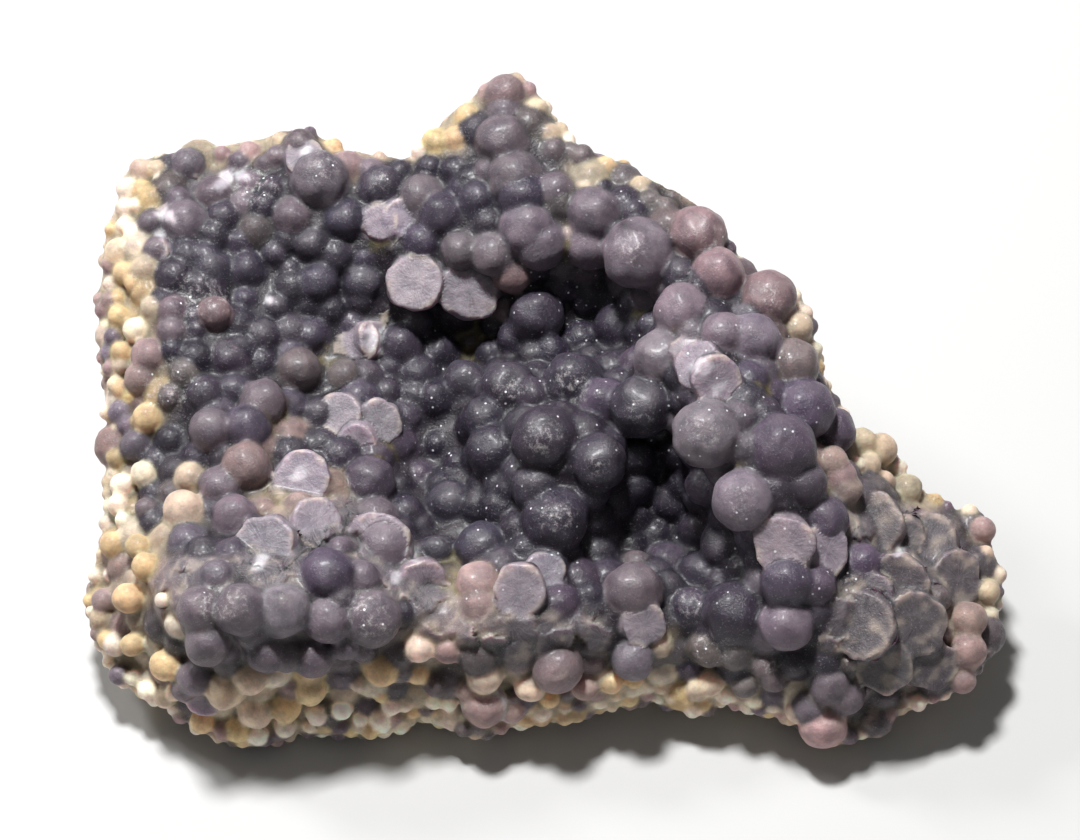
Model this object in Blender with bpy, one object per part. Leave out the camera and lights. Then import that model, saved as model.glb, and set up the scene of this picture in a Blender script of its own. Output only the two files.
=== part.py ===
# Grape agate specimen: one mass of purple chalcedony covered in round grapes.
# Everything is grown together, so it is one closed solid. It is broken off its rock along
# the sides and cut flat below, and it rests on that cut.
# Lengths are in millimetres here and turned into metres by MM.

import math

import bmesh
import bpy
import numpy as np
from mathutils import Vector

MM = 0.001
NAME = "grape_agate"

# The places below were read as seen from the front at 55 degrees above level, from 450 mm
# away: (across, up) on a plane through the middle of the specimen, square to that line.
VIEW_UP = math.radians(55.0)
VIEW_AWAY = 450.0
MIDDLE = (-0.26, -0.31, 16.0)

# The outline as seen, clockwise from the left: across, up, height above the table.
OUTLINE = [
    (-45.4, -19.2, 7), (-44.4, -13.5, 11), (-43.2, -9.2, 12), (-43.3, 0.4, 15), (-43.7, 7.5, 18),
    (-43.9, 15.8, 22), (-42.0, 23.0, 24), (-40.6, 25.5, 25), (-35.2, 27.2, 25), (-29.0, 28.0, 26),
    (-24.1, 29.3, 28), (-19.5, 26.8, 27), (-13.2, 26.0, 27), (-10.3, 29.2, 29), (-7.3, 31.6, 30),
    (-5.3, 34.0, 32), (-2.0, 34.3, 32), (0.3, 31.5, 31), (3.0, 27.7, 30), (7.7, 25.7, 29),
    (11.5, 23.6, 29), (16.0, 21.4, 29), (20.5, 15.2, 27), (25.7, 12.6, 25), (27.8, 6.5, 23),
    (29.6, 1.5, 20), (31.6, -1.0, 18), (36.0, -3.4, 14), (36.5, -5.8, 13), (40.5, -8.3, 12),
    (44.8, -10.5, 11), (46.1, -17.2, 10), (44.7, -23.5, 8), (41.5, -27.0, 7), (37.5, -28.3, 6),
    (34.6, -29.7, 5), (31.8, -32.4, 3.5), (27.5, -32.4, 3.5), (24.5, -28.2, 6), (18.6, -27.7, 6),
    (15.0, -28.0, 5.5), (11.5, -26.1, 7), (4.5, -28.0, 6), (-1.0, -29.2, 5), (-5.6, -30.9, 4),
    (-11.5, -28.8, 5), (-16.3, -31.1, 3.5), (-24.0, -30.6, 4), (-28.7, -32.8, 2.5), (-33.5, -31.8, 3),
    (-37.7, -28.6, 4), (-42.8, -25.6, 5),
]

# The lie of the top under the grapes: across, up, height above the table.
LIE = [
    (-39.0, 25.5, 26), (-34.0, 22.0, 25.5), (-39.0, 16.0, 24), (-24.0, 24.0, 28), (-16.0, 23.0, 27),
    (-10.0, 21.0, 26), (-4.0, 24.0, 29), (0.0, 18.0, 27), (5.5, 19.0, 28), (10.0, 17.0, 29),
    (16.0, 12.0, 28), (22.8, 12.1, 26), (14.0, 6.0, 28), (21.3, 8.0, 27), (16.7, -1.4, 27),
    (24.0, -3.0, 25), (20.2, -8.0, 25), (25.3, 5.5, 25), (26.0, -12.0, 21), (29.0, -1.0, 20),
    (-29.0, 17.0, 23), (-32.5, 10.7, 22), (-31.0, 5.0, 20), (-23.0, 14.0, 22), (-24.0, 5.0, 18),
    (-27.7, 1.8, 19), (-30.0, -3.0, 18), (-30.5, -9.0, 17), (-35.6, -8.0, 16), (-38.0, -2.0, 17),
    (-39.0, 6.0, 21), (-40.5, 12.0, 22), (-17.0, 13.0, 20), (-12.5, 13.7, 23), (-7.1, 12.9, 23),
    (-17.4, 7.8, 18), (-22.0, -2.0, 15), (-17.1, -6.2, 15), (-18.0, -0.5, 18), (-23.8, -5.7, 17),
    (-11.0, 1.0, 14), (-14.0, 7.0, 15), (-8.0, 9.0, 10), (-4.0, 3.0, 19), (0.4, -1.8, 22),
    (3.3, 3.9, 20), (5.8, -4.2, 22), (10.1, 1.3, 23), (-0.4, 10.4, 20), (5.0, 12.0, 17),
    (8.0, 8.0, 18), (1.6, -10.1, 17), (-9.0, -8.3, 13), (-6.0, -13.0, 14), (-10.3, -13.2, 13),
    (-11.0, -5.0, 12), (13.2, -8.0, 12), (18.5, -12.5, 12), (15.0, -18.0, 13), (19.5, -19.5, 14),
    (22.5, -24.6, 11), (12.0, -2.0, 14), (10.0, -11.0, 11), (-28.5, -12.5, 18), (-21.5, -10.0, 18),
    (-35.0, -16.0, 20), (-30.0, -18.0, 21), (-24.0, -17.0, 20), (-17.0, -14.0, 18), (-16.8, -19.8, 18),
    (-11.0, -18.0, 16), (-6.0, -20.0, 17), (0.0, -21.0, 16), (-1.5, -16.5, 18), (9.3, -17.1, 16),
    (6.0, -14.0, 12), (9.3, -23.0, 12), (2.0, -24.5, 11), (-34.0, -22.5, 17), (-27.4, -23.0, 16),
    (-29.0, -26.0, 10), (-37.5, -24.5, 9.5), (-41.2, -17.8, 14), (-40.2, -12.7, 16), (-20.0, -24.0, 12),
    (-22.9, -27.0, 8), (-14.0, -24.5, 11), (-9.0, -26.0, 9), (-4.0, -27.0, 8), (35.0, -11.0, 14),
    (39.0, -14.0, 14), (36.0, -18.0, 15), (32.0, -20.0, 15), (39.0, -22.0, 13), (31.0, -24.0, 13),
    (27.5, -16.5, 17), (29.0, -26.5, 9.5), (42.0, -18.0, 11), (24.5, -12.5, 21), (24.6, -16.2, 19),
    (24.6, -20.5, 15), (-42.2, 2.0, 17), (-41.6, 14.7, 22), (-42.0, -5.0, 15), (-39.5, -14.6, 15),
]

# The larger grapes: across, up, radius, and how far the middle stands out of the bed, as a
# share of the radius.
GRAPES = [
    (-32.5, 10.7, 1.7, 0.8), (-22.2, 13.7, 2.1, 0.4), (-24.1, 5.1, 2.2, 0.6), (-22.0, 24.0, 2.9, 0.3),
    (-4.7, 16.6, 2.3, 0.4), (-3.7, 27.9, 2.7, 0.4), (-2.5, 24.2, 2.7, 0.3), (-1.7, 22.3, 2.6, 0.3),
    (-1.3, 19.1, 2.7, 0.4), (0.0, 17.7, 2.7, 0.4), (5.4, 20.7, 2.6, 0.4), (5.0, 17.5, 2.5, 0.3),
    (9.7, 16.6, 3.6, 0.5), (15.8, 18.6, 2.9, 0.4), (17.8, 14.6, 2.7, 0.4), (-12.5, 13.7, 2.9, 0.6),
    (-7.1, 12.9, 3.1, 0.6), (-17.4, 7.8, 2.2, 0.6), (-19.9, 0.7, 2.3, 0.6), (-16.1, -0.1, 2.2, 0.6),
    (-23.8, -5.7, 2.7, 0.5), (-2.0, -17.0, 2.6, 0.6), (0.5, -15.2, 2.1, 0.5), (16.5, 5.0, 3.3, 0.5),
    (24.5, -12.5, 3.0, 0.4), (28.5, -13.0, 2.5, 0.3), (10.3, -20.4, 2.2, 0.4), (-5.6, -28.5, 2.2, 0.4),
    (-27.7, 1.8, 2.3, 0.7), (-32.9, -1.0, 2.2, 0.6), (-29.3, -0.8, 2.3, 0.6), (-29.4, -4.6, 2.4, 0.7),
    (-32.0, -6.7, 2.1, 0.5), (-30.5, -9.6, 2.2, 0.5), (-35.6, -9.1, 2.1, 0.5), (-17.1, -6.2, 2.6, 0.5),
    (-21.5, -10.0, 2.5, 0.3), (-15.5, -12.7, 2.8, 0.3), (-9.0, -8.3, 2.2, 0.5), (-5.9, -12.8, 2.6, 0.5),
    (-6.3, -16.3, 2.2, 0.4), (-7.5, 3.8, 2.3, 0.4), (-3.3, 3.2, 2.8, 0.5), (3.3, 3.9, 3.0, 0.6),
    (0.4, -1.8, 3.2, 0.6), (-5.3, 0.0, 2.5, 0.4), (-4.7, -3.2, 2.8, 0.4), (5.8, -4.2, 2.8, 0.6),
    (10.1, 1.3, 3.1, 0.7), (-0.5, -6.7, 2.4, 0.4), (1.6, -10.1, 3.2, 0.6), (-0.4, 10.4, 2.8, 0.7),
    (7.8, 9.3, 2.5, 0.2), (18.5, -12.5, 2.6, 0.2), (19.5, -19.5, 3.4, 0.2), (14.2, 10.8, 2.8, 0.4),
    (12.1, 6.2, 2.8, 0.4), (18.4, 8.6, 2.2, 0.4), (21.3, 8.0, 2.7, 0.4), (22.8, 12.1, 2.9, 0.5),
    (25.3, 5.5, 2.6, 0.5), (26.3, 1.0, 3.1, 0.5), (16.7, -1.4, 3.4, 0.8), (24.2, -2.8, 3.4, 0.5),
    (29.3, -1.1, 2.4, 0.4), (20.2, -8.0, 3.0, 0.7), (26.2, -6.4, 2.5, 0.4), (24.6, -16.2, 2.6, 0.5),
    (24.6, -20.5, 2.6, 0.5), (-30.0, -19.0, 2.2, 0.6), (-25.7, -19.1, 2.4, 0.6), (-21.2, -20.0, 2.1, 0.5),
    (-21.3, -15.4, 2.5, 0.5), (-16.8, -19.8, 2.7, 0.6), (-33.3, -22.3, 2.3, 0.4), (-22.8, -23.7, 2.2, 0.4),
    (1.8, -24.8, 2.5, 0.5), (9.3, -17.1, 2.9, 0.5), (9.3, -24.0, 2.1, 0.5),
]

# Body: spokes around the middle, rings from the crown to the base, and its shape below.
SPOKES = 42             # points around the outline
RINGS = 14              # from the crown to the middle of the base
SOFTNESS = 7.0          # rounds the lie of the top between its places
EASE = 7.0              # lets the surface miss a place by a little, against ripples
BASE_SHARE = 0.70       # width of the flat cut against the outline
BASE_BACK = -2.0        # the cut lies a little forward of the middle
SIDE_SWELL = 3.2        # how far the broken sides swell out below the rim
BASE_RING = 10          # from this ring down everything lies in the flat cut
GRAPE_DIVISIONS = 2     # a round grape of 80 faces
BURIED = 0.20           # a grape with stand 0 has its middle this share of a radius below
TURN_STEPS = (0.7, 1.1, 0.4)    # each grape is turned a little further, so no two faces match
STONE_COLOUR = (0.20, 0.16, 0.24, 1.0)
STONE_ROUGHNESS = 0.5


def eye_place():
    """Where the specimen is seen from."""
    toward = Vector((0.0, -math.cos(VIEW_UP), math.sin(VIEW_UP)))
    return Vector(MIDDLE) + toward * VIEW_AWAY


def placed(across, up, height):
    """The point seen at (across, up) that lies at this height above the table."""
    plane_up = Vector((0.0, math.sin(VIEW_UP), math.cos(VIEW_UP)))
    eye = eye_place()
    seen = Vector(MIDDLE) + Vector((across, 0.0, 0.0)) + plane_up * up
    share = (height - eye.z) / (seen.z - eye.z)
    return eye + (seen - eye) * share


def fitted_lie():
    """Weights of a smooth surface through the places of LIE and OUTLINE."""
    places = np.array(LIE + OUTLINE, float)
    apart = np.linalg.norm(places[:, None, :2] - places[None, :, :2], axis=2)
    kernel = -np.sqrt(apart ** 2 + SOFTNESS ** 2)
    count = len(places)
    system = np.zeros((count + 1, count + 1))
    system[:count, :count] = kernel + EASE * np.eye(count)
    system[:count, count] = 1.0
    system[count, :count] = 1.0
    wanted = np.append(places[:, 2], 0.0)
    return places[:, :2], np.linalg.solve(system, wanted)


def lie_height(fitted, across, up):
    """Height of the bed above the table at a place of the picture."""
    places, weights = fitted
    apart = np.hypot(places[:, 0] - across, places[:, 1] - up)
    kernel = -np.sqrt(apart ** 2 + SOFTNESS ** 2)
    return float(kernel @ weights[:-1] + weights[-1])


def outline_at(angle):
    """Across, up and height of the outline in one direction from the middle."""
    spots = []
    for across, up, height in OUTLINE:
        spots.append((math.atan2(up, across) % math.tau, math.hypot(across, up), height))
    spots.sort()
    turns = [spot[0] for spot in spots]
    reach = float(np.interp(angle, turns, [spot[1] for spot in spots], period=math.tau))
    height = float(np.interp(angle, turns, [spot[2] for spot in spots], period=math.tau))
    return reach * math.cos(angle), reach * math.sin(angle), height


def body_point(fitted, ring, angle):
    """One corner of the body, in millimetres."""
    across, up, rim_height = outline_at(angle)
    half = RINGS // 2
    rim = placed(across, up, rim_height)
    if ring <= half:
        share = math.sin(math.pi / 2 * ring / half)
        if ring == half:
            return rim
        height = lie_height(fitted, across * share, up * share)
        return placed(across * share, up * share, height)
    base_middle = Vector((0.0, BASE_BACK, 0.0))
    base = base_middle + (Vector((rim.x, rim.y, 0.0)) - base_middle) * BASE_SHARE
    if ring >= BASE_RING:
        share = (RINGS - ring) / (RINGS - BASE_RING)
        return base_middle + (base - base_middle) * share
    share = (ring - half) / (BASE_RING - half)
    point = rim.lerp(base, share)
    outward = (rim - base_middle).normalized()
    outward.z = 0.0
    return point + outward * SIDE_SWELL * math.sin(math.pi * share)


def add_body(fitted):
    """A round primitive whose rings are moved to the top, the rim and the flat cut."""
    bpy.ops.mesh.primitive_uv_sphere_add(segments=SPOKES, ring_count=RINGS, radius=1.0)
    body = bpy.context.object
    body.name = NAME
    body.data.name = NAME
    for vertex in body.data.vertices:
        place = vertex.co.copy()
        ring = round(math.acos(max(-1.0, min(1.0, place.z))) / math.pi * RINGS)
        angle = math.atan2(place.y, place.x) % math.tau
        vertex.co = body_point(fitted, ring, angle) * MM
    return body


def add_grape(collection, number, place, fitted):
    """One round grape, with its middle on the line of sight through its place."""
    across, up, radius, stands = place
    on_bed = placed(across, up, lie_height(fitted, across, up))
    toward_eye = (eye_place() - on_bed).normalized()
    middle = on_bed + toward_eye * radius * (stands - BURIED)
    turn = [step * number for step in TURN_STEPS]
    bpy.ops.mesh.primitive_ico_sphere_add(
        subdivisions=GRAPE_DIVISIONS, radius=radius * MM, location=middle * MM, rotation=turn
    )
    grape = bpy.context.object
    grape.name = f"grape_{number:03d}"
    for owner in list(grape.users_collection):
        owner.objects.unlink(grape)
    collection.objects.link(grape)
    grape.hide_render = True
    grape.display_type = "WIRE"
    return grape


def join_grapes(body, collection):
    """Grow the grapes and the body together as one solid."""
    joined = body.modifiers.new("grown_together", "BOOLEAN")
    joined.operation = "UNION"
    joined.operand_type = "COLLECTION"
    joined.collection = collection
    joined.solver = "EXACT"
    return joined


def chalcedony():
    """The stone's plain working colour; the fine look belongs to the visual model."""
    stone = bpy.data.materials.new("chalcedony")
    stone.use_nodes = True
    shader = stone.node_tree.nodes["Principled BSDF"]
    shader.inputs["Base Color"].default_value = STONE_COLOUR
    shader.inputs["Roughness"].default_value = STONE_ROUGHNESS
    return stone


for old in list(bpy.data.objects):
    bpy.data.objects.remove(old, do_unlink=True)

parts = bpy.data.collections.new("grape_agate_specimen")
growth = bpy.data.collections.new("growth")
bpy.context.scene.collection.children.link(parts)
bpy.context.scene.collection.children.link(growth)

lie = fitted_lie()
specimen = add_body(lie)
for owner in list(specimen.users_collection):
    owner.objects.unlink(specimen)
parts.objects.link(specimen)
specimen.data.materials.append(chalcedony())

for number, place in enumerate(GRAPES):
    add_grape(growth, number, place, lie)
join_grapes(specimen, growth)
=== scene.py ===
# %% [markdown]
# # Grape agate, piece by piece
# A grape agate is a crust of purple chalcedony that grew as hundreds of little round balls,
# the grapes, on the wall of a cavity. This one is about 90 mm wide. It has a dark hollow in
# the middle, a lilac ridge on the right, broken grapes with fine rays, and a rim of buff beads.
# The plan: place every grape one by one, let Geometry Nodes turn the places into balls and strew
# small beads between them, fuse all of it into one skin, and work out the colours on that skin
# from the same list of grapes. That keeps shape and colour in step everywhere.

# %% Open the frame
import math

import bmesh
import bpy
import numpy as np
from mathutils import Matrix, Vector, kdtree, noise


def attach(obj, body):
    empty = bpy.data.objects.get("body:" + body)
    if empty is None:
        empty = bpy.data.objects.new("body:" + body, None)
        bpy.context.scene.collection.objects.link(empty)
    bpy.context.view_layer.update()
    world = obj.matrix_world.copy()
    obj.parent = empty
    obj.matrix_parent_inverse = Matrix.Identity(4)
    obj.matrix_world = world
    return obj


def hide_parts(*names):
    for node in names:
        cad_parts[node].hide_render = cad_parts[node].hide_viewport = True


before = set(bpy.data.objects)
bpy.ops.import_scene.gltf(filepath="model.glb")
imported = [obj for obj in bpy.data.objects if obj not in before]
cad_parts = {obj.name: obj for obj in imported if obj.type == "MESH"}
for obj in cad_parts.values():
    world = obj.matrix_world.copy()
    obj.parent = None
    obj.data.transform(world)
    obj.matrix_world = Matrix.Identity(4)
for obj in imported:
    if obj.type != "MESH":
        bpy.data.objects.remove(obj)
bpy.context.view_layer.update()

# %% [markdown]
# ## The line of sight
# Places are read as seen: across and up, in millimetres, on a plane through the middle of
# the specimen that faces the viewer. A place and a height above the table together give one
# point in space. That is easier to read by eye than three coordinates, and a grape stays
# where it is seen when its height is corrected.

# %% From a seen place to a point in space
MM = 0.001
VIEW_UP = math.radians(55.0)
VIEW_AWAY = 450.0
MIDDLE = np.array([-0.26, -0.31, 16.0])
TOWARD = np.array([0.0, -math.cos(VIEW_UP), math.sin(VIEW_UP)])
PLANE_UP = np.array([0.0, math.sin(VIEW_UP), math.cos(VIEW_UP)])
EYE = MIDDLE + TOWARD * VIEW_AWAY


def placed(across, up, height):
    """Points in millimetres, seen at (across, up), at this height above the table."""
    across, up, height = np.broadcast_arrays(across, up, height)
    seen = MIDDLE + across[..., None] * np.array([1.0, 0.0, 0.0]) + up[..., None] * PLANE_UP
    share = (height - EYE[2]) / (seen[..., 2] - EYE[2])
    return EYE + (seen - EYE) * share[..., None]


def seen_place(points):
    """Across and up, in millimetres, of points in space."""
    away = points - EYE
    share = -VIEW_AWAY / (away @ TOWARD)
    on_plane = EYE + away * share[:, None] - MIDDLE
    return on_plane[:, 0], on_plane @ PLANE_UP


print("A point 20 mm up in the middle of the view:", placed(0.0, 0.0, 20.0))

# %% [markdown]
# ## The lie of the specimen
# Under the grapes lies a bed: a rim at the back and left, a deep hollow in the middle, a
# ledge in front. It could be sculpted, but a smooth surface through listed heights is
# quicker to correct. The kernel -sqrt(d^2 + s^2) gives a surface without overshoot.

# %% Outline and heights of the bed
# The outline as seen, clockwise from the left: across, up, height above the table, mm.
OUTLINE = [
    (-45.4, -19.2, 7), (-44.4, -13.5, 11), (-43.2, -9.2, 12), (-43.3, 0.4, 15), (-43.7, 7.5, 18),
    (-43.9, 15.8, 22), (-42.0, 23.0, 24), (-40.6, 25.5, 25), (-35.2, 27.2, 25), (-29.0, 28.0, 26),
    (-24.1, 29.3, 28), (-19.5, 26.8, 27), (-13.2, 26.0, 27), (-10.3, 29.2, 29), (-7.3, 31.6, 30),
    (-5.3, 34.0, 32), (-2.0, 34.3, 32), (0.3, 31.5, 31), (3.0, 27.7, 30), (7.7, 25.7, 29),
    (11.5, 23.6, 29), (16.0, 21.4, 29), (20.5, 15.2, 27), (25.7, 12.6, 25), (27.8, 6.5, 23),
    (29.6, 1.5, 20), (31.6, -1.0, 18), (36.0, -3.4, 14), (36.5, -5.8, 13), (40.5, -8.3, 12),
    (44.8, -10.5, 11), (46.1, -17.2, 10), (44.7, -23.5, 8), (41.5, -27.0, 7), (37.5, -28.3, 6),
    (34.6, -29.7, 5), (31.8, -32.0, 3.5), (28.8, -32.3, 3.5), (24.7, -28.7, 6), (18.6, -27.7, 6),
    (15.0, -28.0, 5.5), (11.5, -26.1, 7), (4.5, -28.0, 6), (-1.0, -29.2, 5), (-5.6, -30.9, 4),
    (-11.5, -28.8, 5), (-16.3, -31.1, 3.5), (-24.0, -30.6, 4), (-28.7, -32.8, 2.5),
    (-33.5, -31.8, 3), (-37.7, -28.6, 4), (-42.8, -25.6, 5),
]
# The bed: across, up, height above the table, mm.
LIE = [
    (-39.0, 25.5, 26), (-34.0, 22.0, 25.5), (-39.0, 16.0, 24), (-24.0, 24.0, 28),
    (-16.0, 23.0, 27), (-10.0, 21.0, 26), (-4.0, 24.0, 29), (0.0, 18.0, 27), (5.5, 19.0, 28),
    (10.0, 17.0, 29), (16.0, 12.0, 28), (22.8, 12.1, 26), (14.0, 6.0, 28), (21.3, 8.0, 27),
    (16.7, -1.4, 27), (24.0, -3.0, 25), (20.2, -8.0, 25), (25.3, 5.5, 25), (26.0, -12.0, 21),
    (29.0, -1.0, 20), (-29.0, 17.0, 23), (-32.5, 10.7, 22), (-31.0, 5.0, 20), (-23.0, 14.0, 22),
    (-24.0, 5.0, 18), (-27.7, 1.8, 19), (-30.0, -3.0, 18), (-30.5, -9.0, 17), (-35.6, -8.0, 16),
    (-38.0, -2.0, 17), (-39.0, 6.0, 21), (-40.5, 12.0, 22), (-17.0, 13.0, 20), (-12.5, 13.7, 23),
    (-7.1, 12.9, 23), (-17.4, 7.8, 18), (-22.0, -2.0, 15), (-17.1, -6.2, 15), (-18.0, -0.5, 18),
    (-23.8, -5.7, 17), (-11.0, 1.0, 14), (-14.0, 7.0, 15), (-8.0, 9.0, 10), (-4.0, 3.0, 19),
    (0.4, -1.8, 22), (3.3, 3.9, 20), (5.8, -4.2, 22), (10.1, 1.3, 23), (-0.4, 10.4, 20),
    (5.0, 12.0, 17), (8.0, 8.0, 18), (1.6, -10.1, 17), (-9.0, -8.3, 13), (-6.0, -13.0, 14),
    (-10.3, -13.2, 13), (-11.0, -5.0, 12), (13.2, -8.0, 12), (18.5, -12.5, 12), (15.0, -18.0, 13),
    (19.5, -19.5, 14), (22.5, -24.6, 11), (12.0, -2.0, 14), (10.0, -11.0, 11), (-28.5, -12.5, 18),
    (-21.5, -10.0, 18), (-35.0, -16.0, 20), (-30.0, -18.0, 21), (-24.0, -17.0, 20),
    (-17.0, -14.0, 18), (-16.8, -19.8, 18), (-11.0, -18.0, 16), (-6.0, -20.0, 17),
    (0.0, -21.0, 16), (-1.5, -16.5, 18), (9.3, -17.1, 16), (6.0, -14.0, 12), (9.3, -23.0, 12),
    (2.0, -24.5, 11), (-34.0, -22.5, 17), (-27.4, -23.0, 16), (-29.0, -26.0, 10),
    (-37.5, -24.5, 9.5), (-41.2, -17.8, 14), (-40.2, -12.7, 16), (-20.0, -24.0, 12),
    (-22.9, -27.0, 8), (-14.0, -24.5, 11), (-9.0, -26.0, 9), (-4.0, -27.0, 8), (35.0, -11.0, 14),
    (39.0, -14.0, 14), (36.0, -18.0, 15), (32.0, -20.0, 15), (39.0, -22.0, 13), (31.0, -24.0, 13),
    (27.5, -16.5, 17), (29.0, -26.5, 9.5), (42.0, -18.0, 11), (24.5, -12.5, 21),
    (24.6, -16.2, 19), (24.6, -20.5, 15), (-42.2, 2.0, 17), (-41.6, 14.7, 22), (-42.0, -5.0, 15),
    (-39.5, -14.6, 15), (-12.5, 8.5, 19.5), (-12.0, 5.5, 18.0), (-9.5, 5.0, 16.5),
    (-5.0, 6.5, 16.0), (4.5, -8.5, 17.5), (8.0, -7.0, 18.0),
]
print(len(OUTLINE), "points on the outline,", len(LIE), "heights inside it")

# %% Fit the bed
LIE_SOFTNESS = 4.0   # mm; rounds the surface at each reading
LIE_EASE = 1.2       # lets the surface pass a little beside the readings
lie_places = np.array(LIE + OUTLINE, float)


def lie_kernel(across, up):
    """The kernel of every reading at each asked place."""
    across = np.asarray(across, float)[..., None] - lie_places[:, 0]
    up = np.asarray(up, float)[..., None] - lie_places[:, 1]
    return -np.sqrt(across ** 2 + up ** 2 + LIE_SOFTNESS ** 2)


count = len(lie_places)
system = np.ones((count + 1, count + 1))
system[:count, :count] = lie_kernel(lie_places[:, 0], lie_places[:, 1]) + LIE_EASE * np.eye(count)
system[count, count] = 0.0
lie_weights = np.linalg.solve(system, np.append(lie_places[:, 2], 0.0))


def lie_height(across, up):
    """Height of the bed above the table, mm."""
    return lie_kernel(across, up) @ lie_weights[:-1] + lie_weights[-1]


print("Bed height in the hollow and on the ridge:", lie_height([-8.0, 16.0], [9.0, 0.0]).round(1))

# %% [markdown]
# ## Where the ground is broken
# In front, at the left corner and on the right lobe the grapes broke away together and left
# an uneven face of their insides. Round patches, as read off, say where that face lies.
# The bed is raised there, no beads grow on it, and later it is split into facets.

# %% Patches of broken ground: across, up, radius, mm
GROUND = [
    (-37.6, -15.6, 1.9), (-35.0, -14.9, 2.1), (-32.5, -15.4, 1.9), (-37.0, -18.6, 1.8),
    (-34.4, -17.8, 1.9), (-28.6, -12.9, 2.2), (-26.0, -11.3, 2.1), (-24.2, -14.6, 1.9),
    (-27.0, -15.6, 1.7), (-21.5, -9.8, 2.3), (-19.4, -8.2, 1.7), (-17.4, -12.6, 2.3),
    (-15.5, -12.2, 2.3), (-13.0, -14.6, 2.2), (-16.0, -16.2, 2.1), (-11.0, -17.0, 2.3),
    (-13.6, -18.6, 2.0), (-9.2, -19.6, 2.1), (-6.4, -21.8, 2.0), (-10.6, -22.0, 1.8),
    (-4.0, -20.4, 2.0), (-1.0, -21.8, 2.1), (2.6, -20.6, 2.3), (5.4, -21.6, 1.9),
    (-2.2, -23.8, 1.8), (1.0, -24.2, 1.7), (33.0, -10.2, 2.6), (36.4, -10.8, 2.5),
    (39.6, -11.4, 2.4), (42.2, -13.8, 1.9), (34.2, -14.4, 2.7), (37.8, -15.0, 2.6),
    (41.0, -16.8, 2.3), (33.2, -19.4, 2.8), (36.8, -18.8, 2.6), (39.6, -21.0, 2.3),
    (30.8, -22.8, 2.5), (34.2, -23.8, 2.5), (37.4, -24.6, 2.2), (30.4, -18.6, 2.2),
    (31.2, -26.6, 1.9), (21.6, -25.8, 1.6), (-33.4, 23.6, 1.5), (-30.6, 24.0, 1.4),
]
ground_patches = np.array(GROUND)
PATCH_ENDS = 1.25    # a patch ends at this share of its radius
PATCH_FADES = 0.5    # and fades over this share before it


def ground_share(across, up):
    """1 well inside the broken ground, 0 outside."""
    away = np.hypot(np.asarray(across)[..., None] - ground_patches[:, 0],
                    np.asarray(up)[..., None] - ground_patches[:, 1]) / ground_patches[:, 2]
    share = np.clip((PATCH_ENDS - away.min(axis=-1)) / PATCH_FADES, 0.0, 1.0)
    return share * share * (3 - 2 * share)


print("Patches of broken ground:", len(GROUND))

# %% [markdown]
# ## The body
# Below the rim nothing is seen in front, and the back is a broken side. The body is a closed
# form of rings: the bed inside the outline, then rings that run down and in to a flat cut,
# on which the specimen rests. Noise roughens it, since it is broken rock, not a turned shape.

# %% Rings of the body
SPOKES = 220
TOP_RINGS = 70
SIDE_RINGS = 26
BASE_SHARE = 0.70    # the cut is this share of the outline
BASE_BACK = -2.0     # mm; the middle of the cut
BASE_RINGS = (0.92, 0.8, 0.6, 0.4, 0.2)
SIDE_SWELL = 3.2     # mm; how far the walls bulge
RIM_POWER = 12       # how late the bed bends to the heights of the outline
BED_DEPTH = -0.5     # the bed lies this far below the readings; below 0 is above them
GROUND_STANDS = 0.9  # and the broken ground this far above them


def outline_at(angles):
    """Across, up and height of the outline in these directions."""
    spots = np.array(OUTLINE, float)
    turns = np.arctan2(spots[:, 1], spots[:, 0]) % math.tau
    order = np.argsort(turns)
    away = np.hypot(spots[:, 0], spots[:, 1])
    reach = np.interp(angles, turns[order], away[order], period=math.tau)
    height = np.interp(angles, turns[order], spots[order, 2], period=math.tau)
    return reach * np.cos(angles), reach * np.sin(angles), height


def body_rings():
    """Ring by ring, the corners of the body in mm, from the crown to the middle of the cut."""
    angles = np.linspace(0.0, math.tau, SPOKES, endpoint=False)
    across, up, rim_height = outline_at(angles)
    rim = placed(across, up, rim_height)
    rings = []
    for step in range(1, TOP_RINGS + 1):
        share = math.sin(math.pi / 2 * step / TOP_RINGS)
        at_rim = share ** RIM_POWER
        height = lie_height(across * share, up * share) - BED_DEPTH
        height += ground_share(across * share, up * share) * (BED_DEPTH + GROUND_STANDS)
        height = height * (1 - at_rim) + rim_height * at_rim
        rings.append(placed(across * share, up * share, height))
    middle = np.array([0.0, BASE_BACK, 0.0])
    base = middle + (rim * [1, 1, 0] - middle) * BASE_SHARE
    outward = (rim - middle) * [1, 1, 0]
    outward /= np.linalg.norm(outward, axis=1)[:, None]
    for step in range(1, SIDE_RINGS + 1):
        share = step / SIDE_RINGS
        swell = outward * SIDE_SWELL * math.sin(math.pi * share)
        rings.append(rim + (base - rim) * share + swell)
    for share in BASE_RINGS:
        rings.append(middle + (base - middle) * share)
    return rings


rings = body_rings()
print(len(rings), "rings of", SPOKES, "corners")

# %% Close the body and roughen it
def in_scene(name, data):
    """A new object with this data, in the scene."""
    made = bpy.data.objects.new(name, data)
    bpy.context.scene.collection.objects.link(made)
    return made


def mesh_from(name, points, faces):
    """A plain mesh object with these corners and faces."""
    mesh = bpy.data.meshes.new(name)
    mesh.from_pydata([tuple(point) for point in points], [], faces)
    mesh.update()
    return in_scene(name, mesh)


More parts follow.
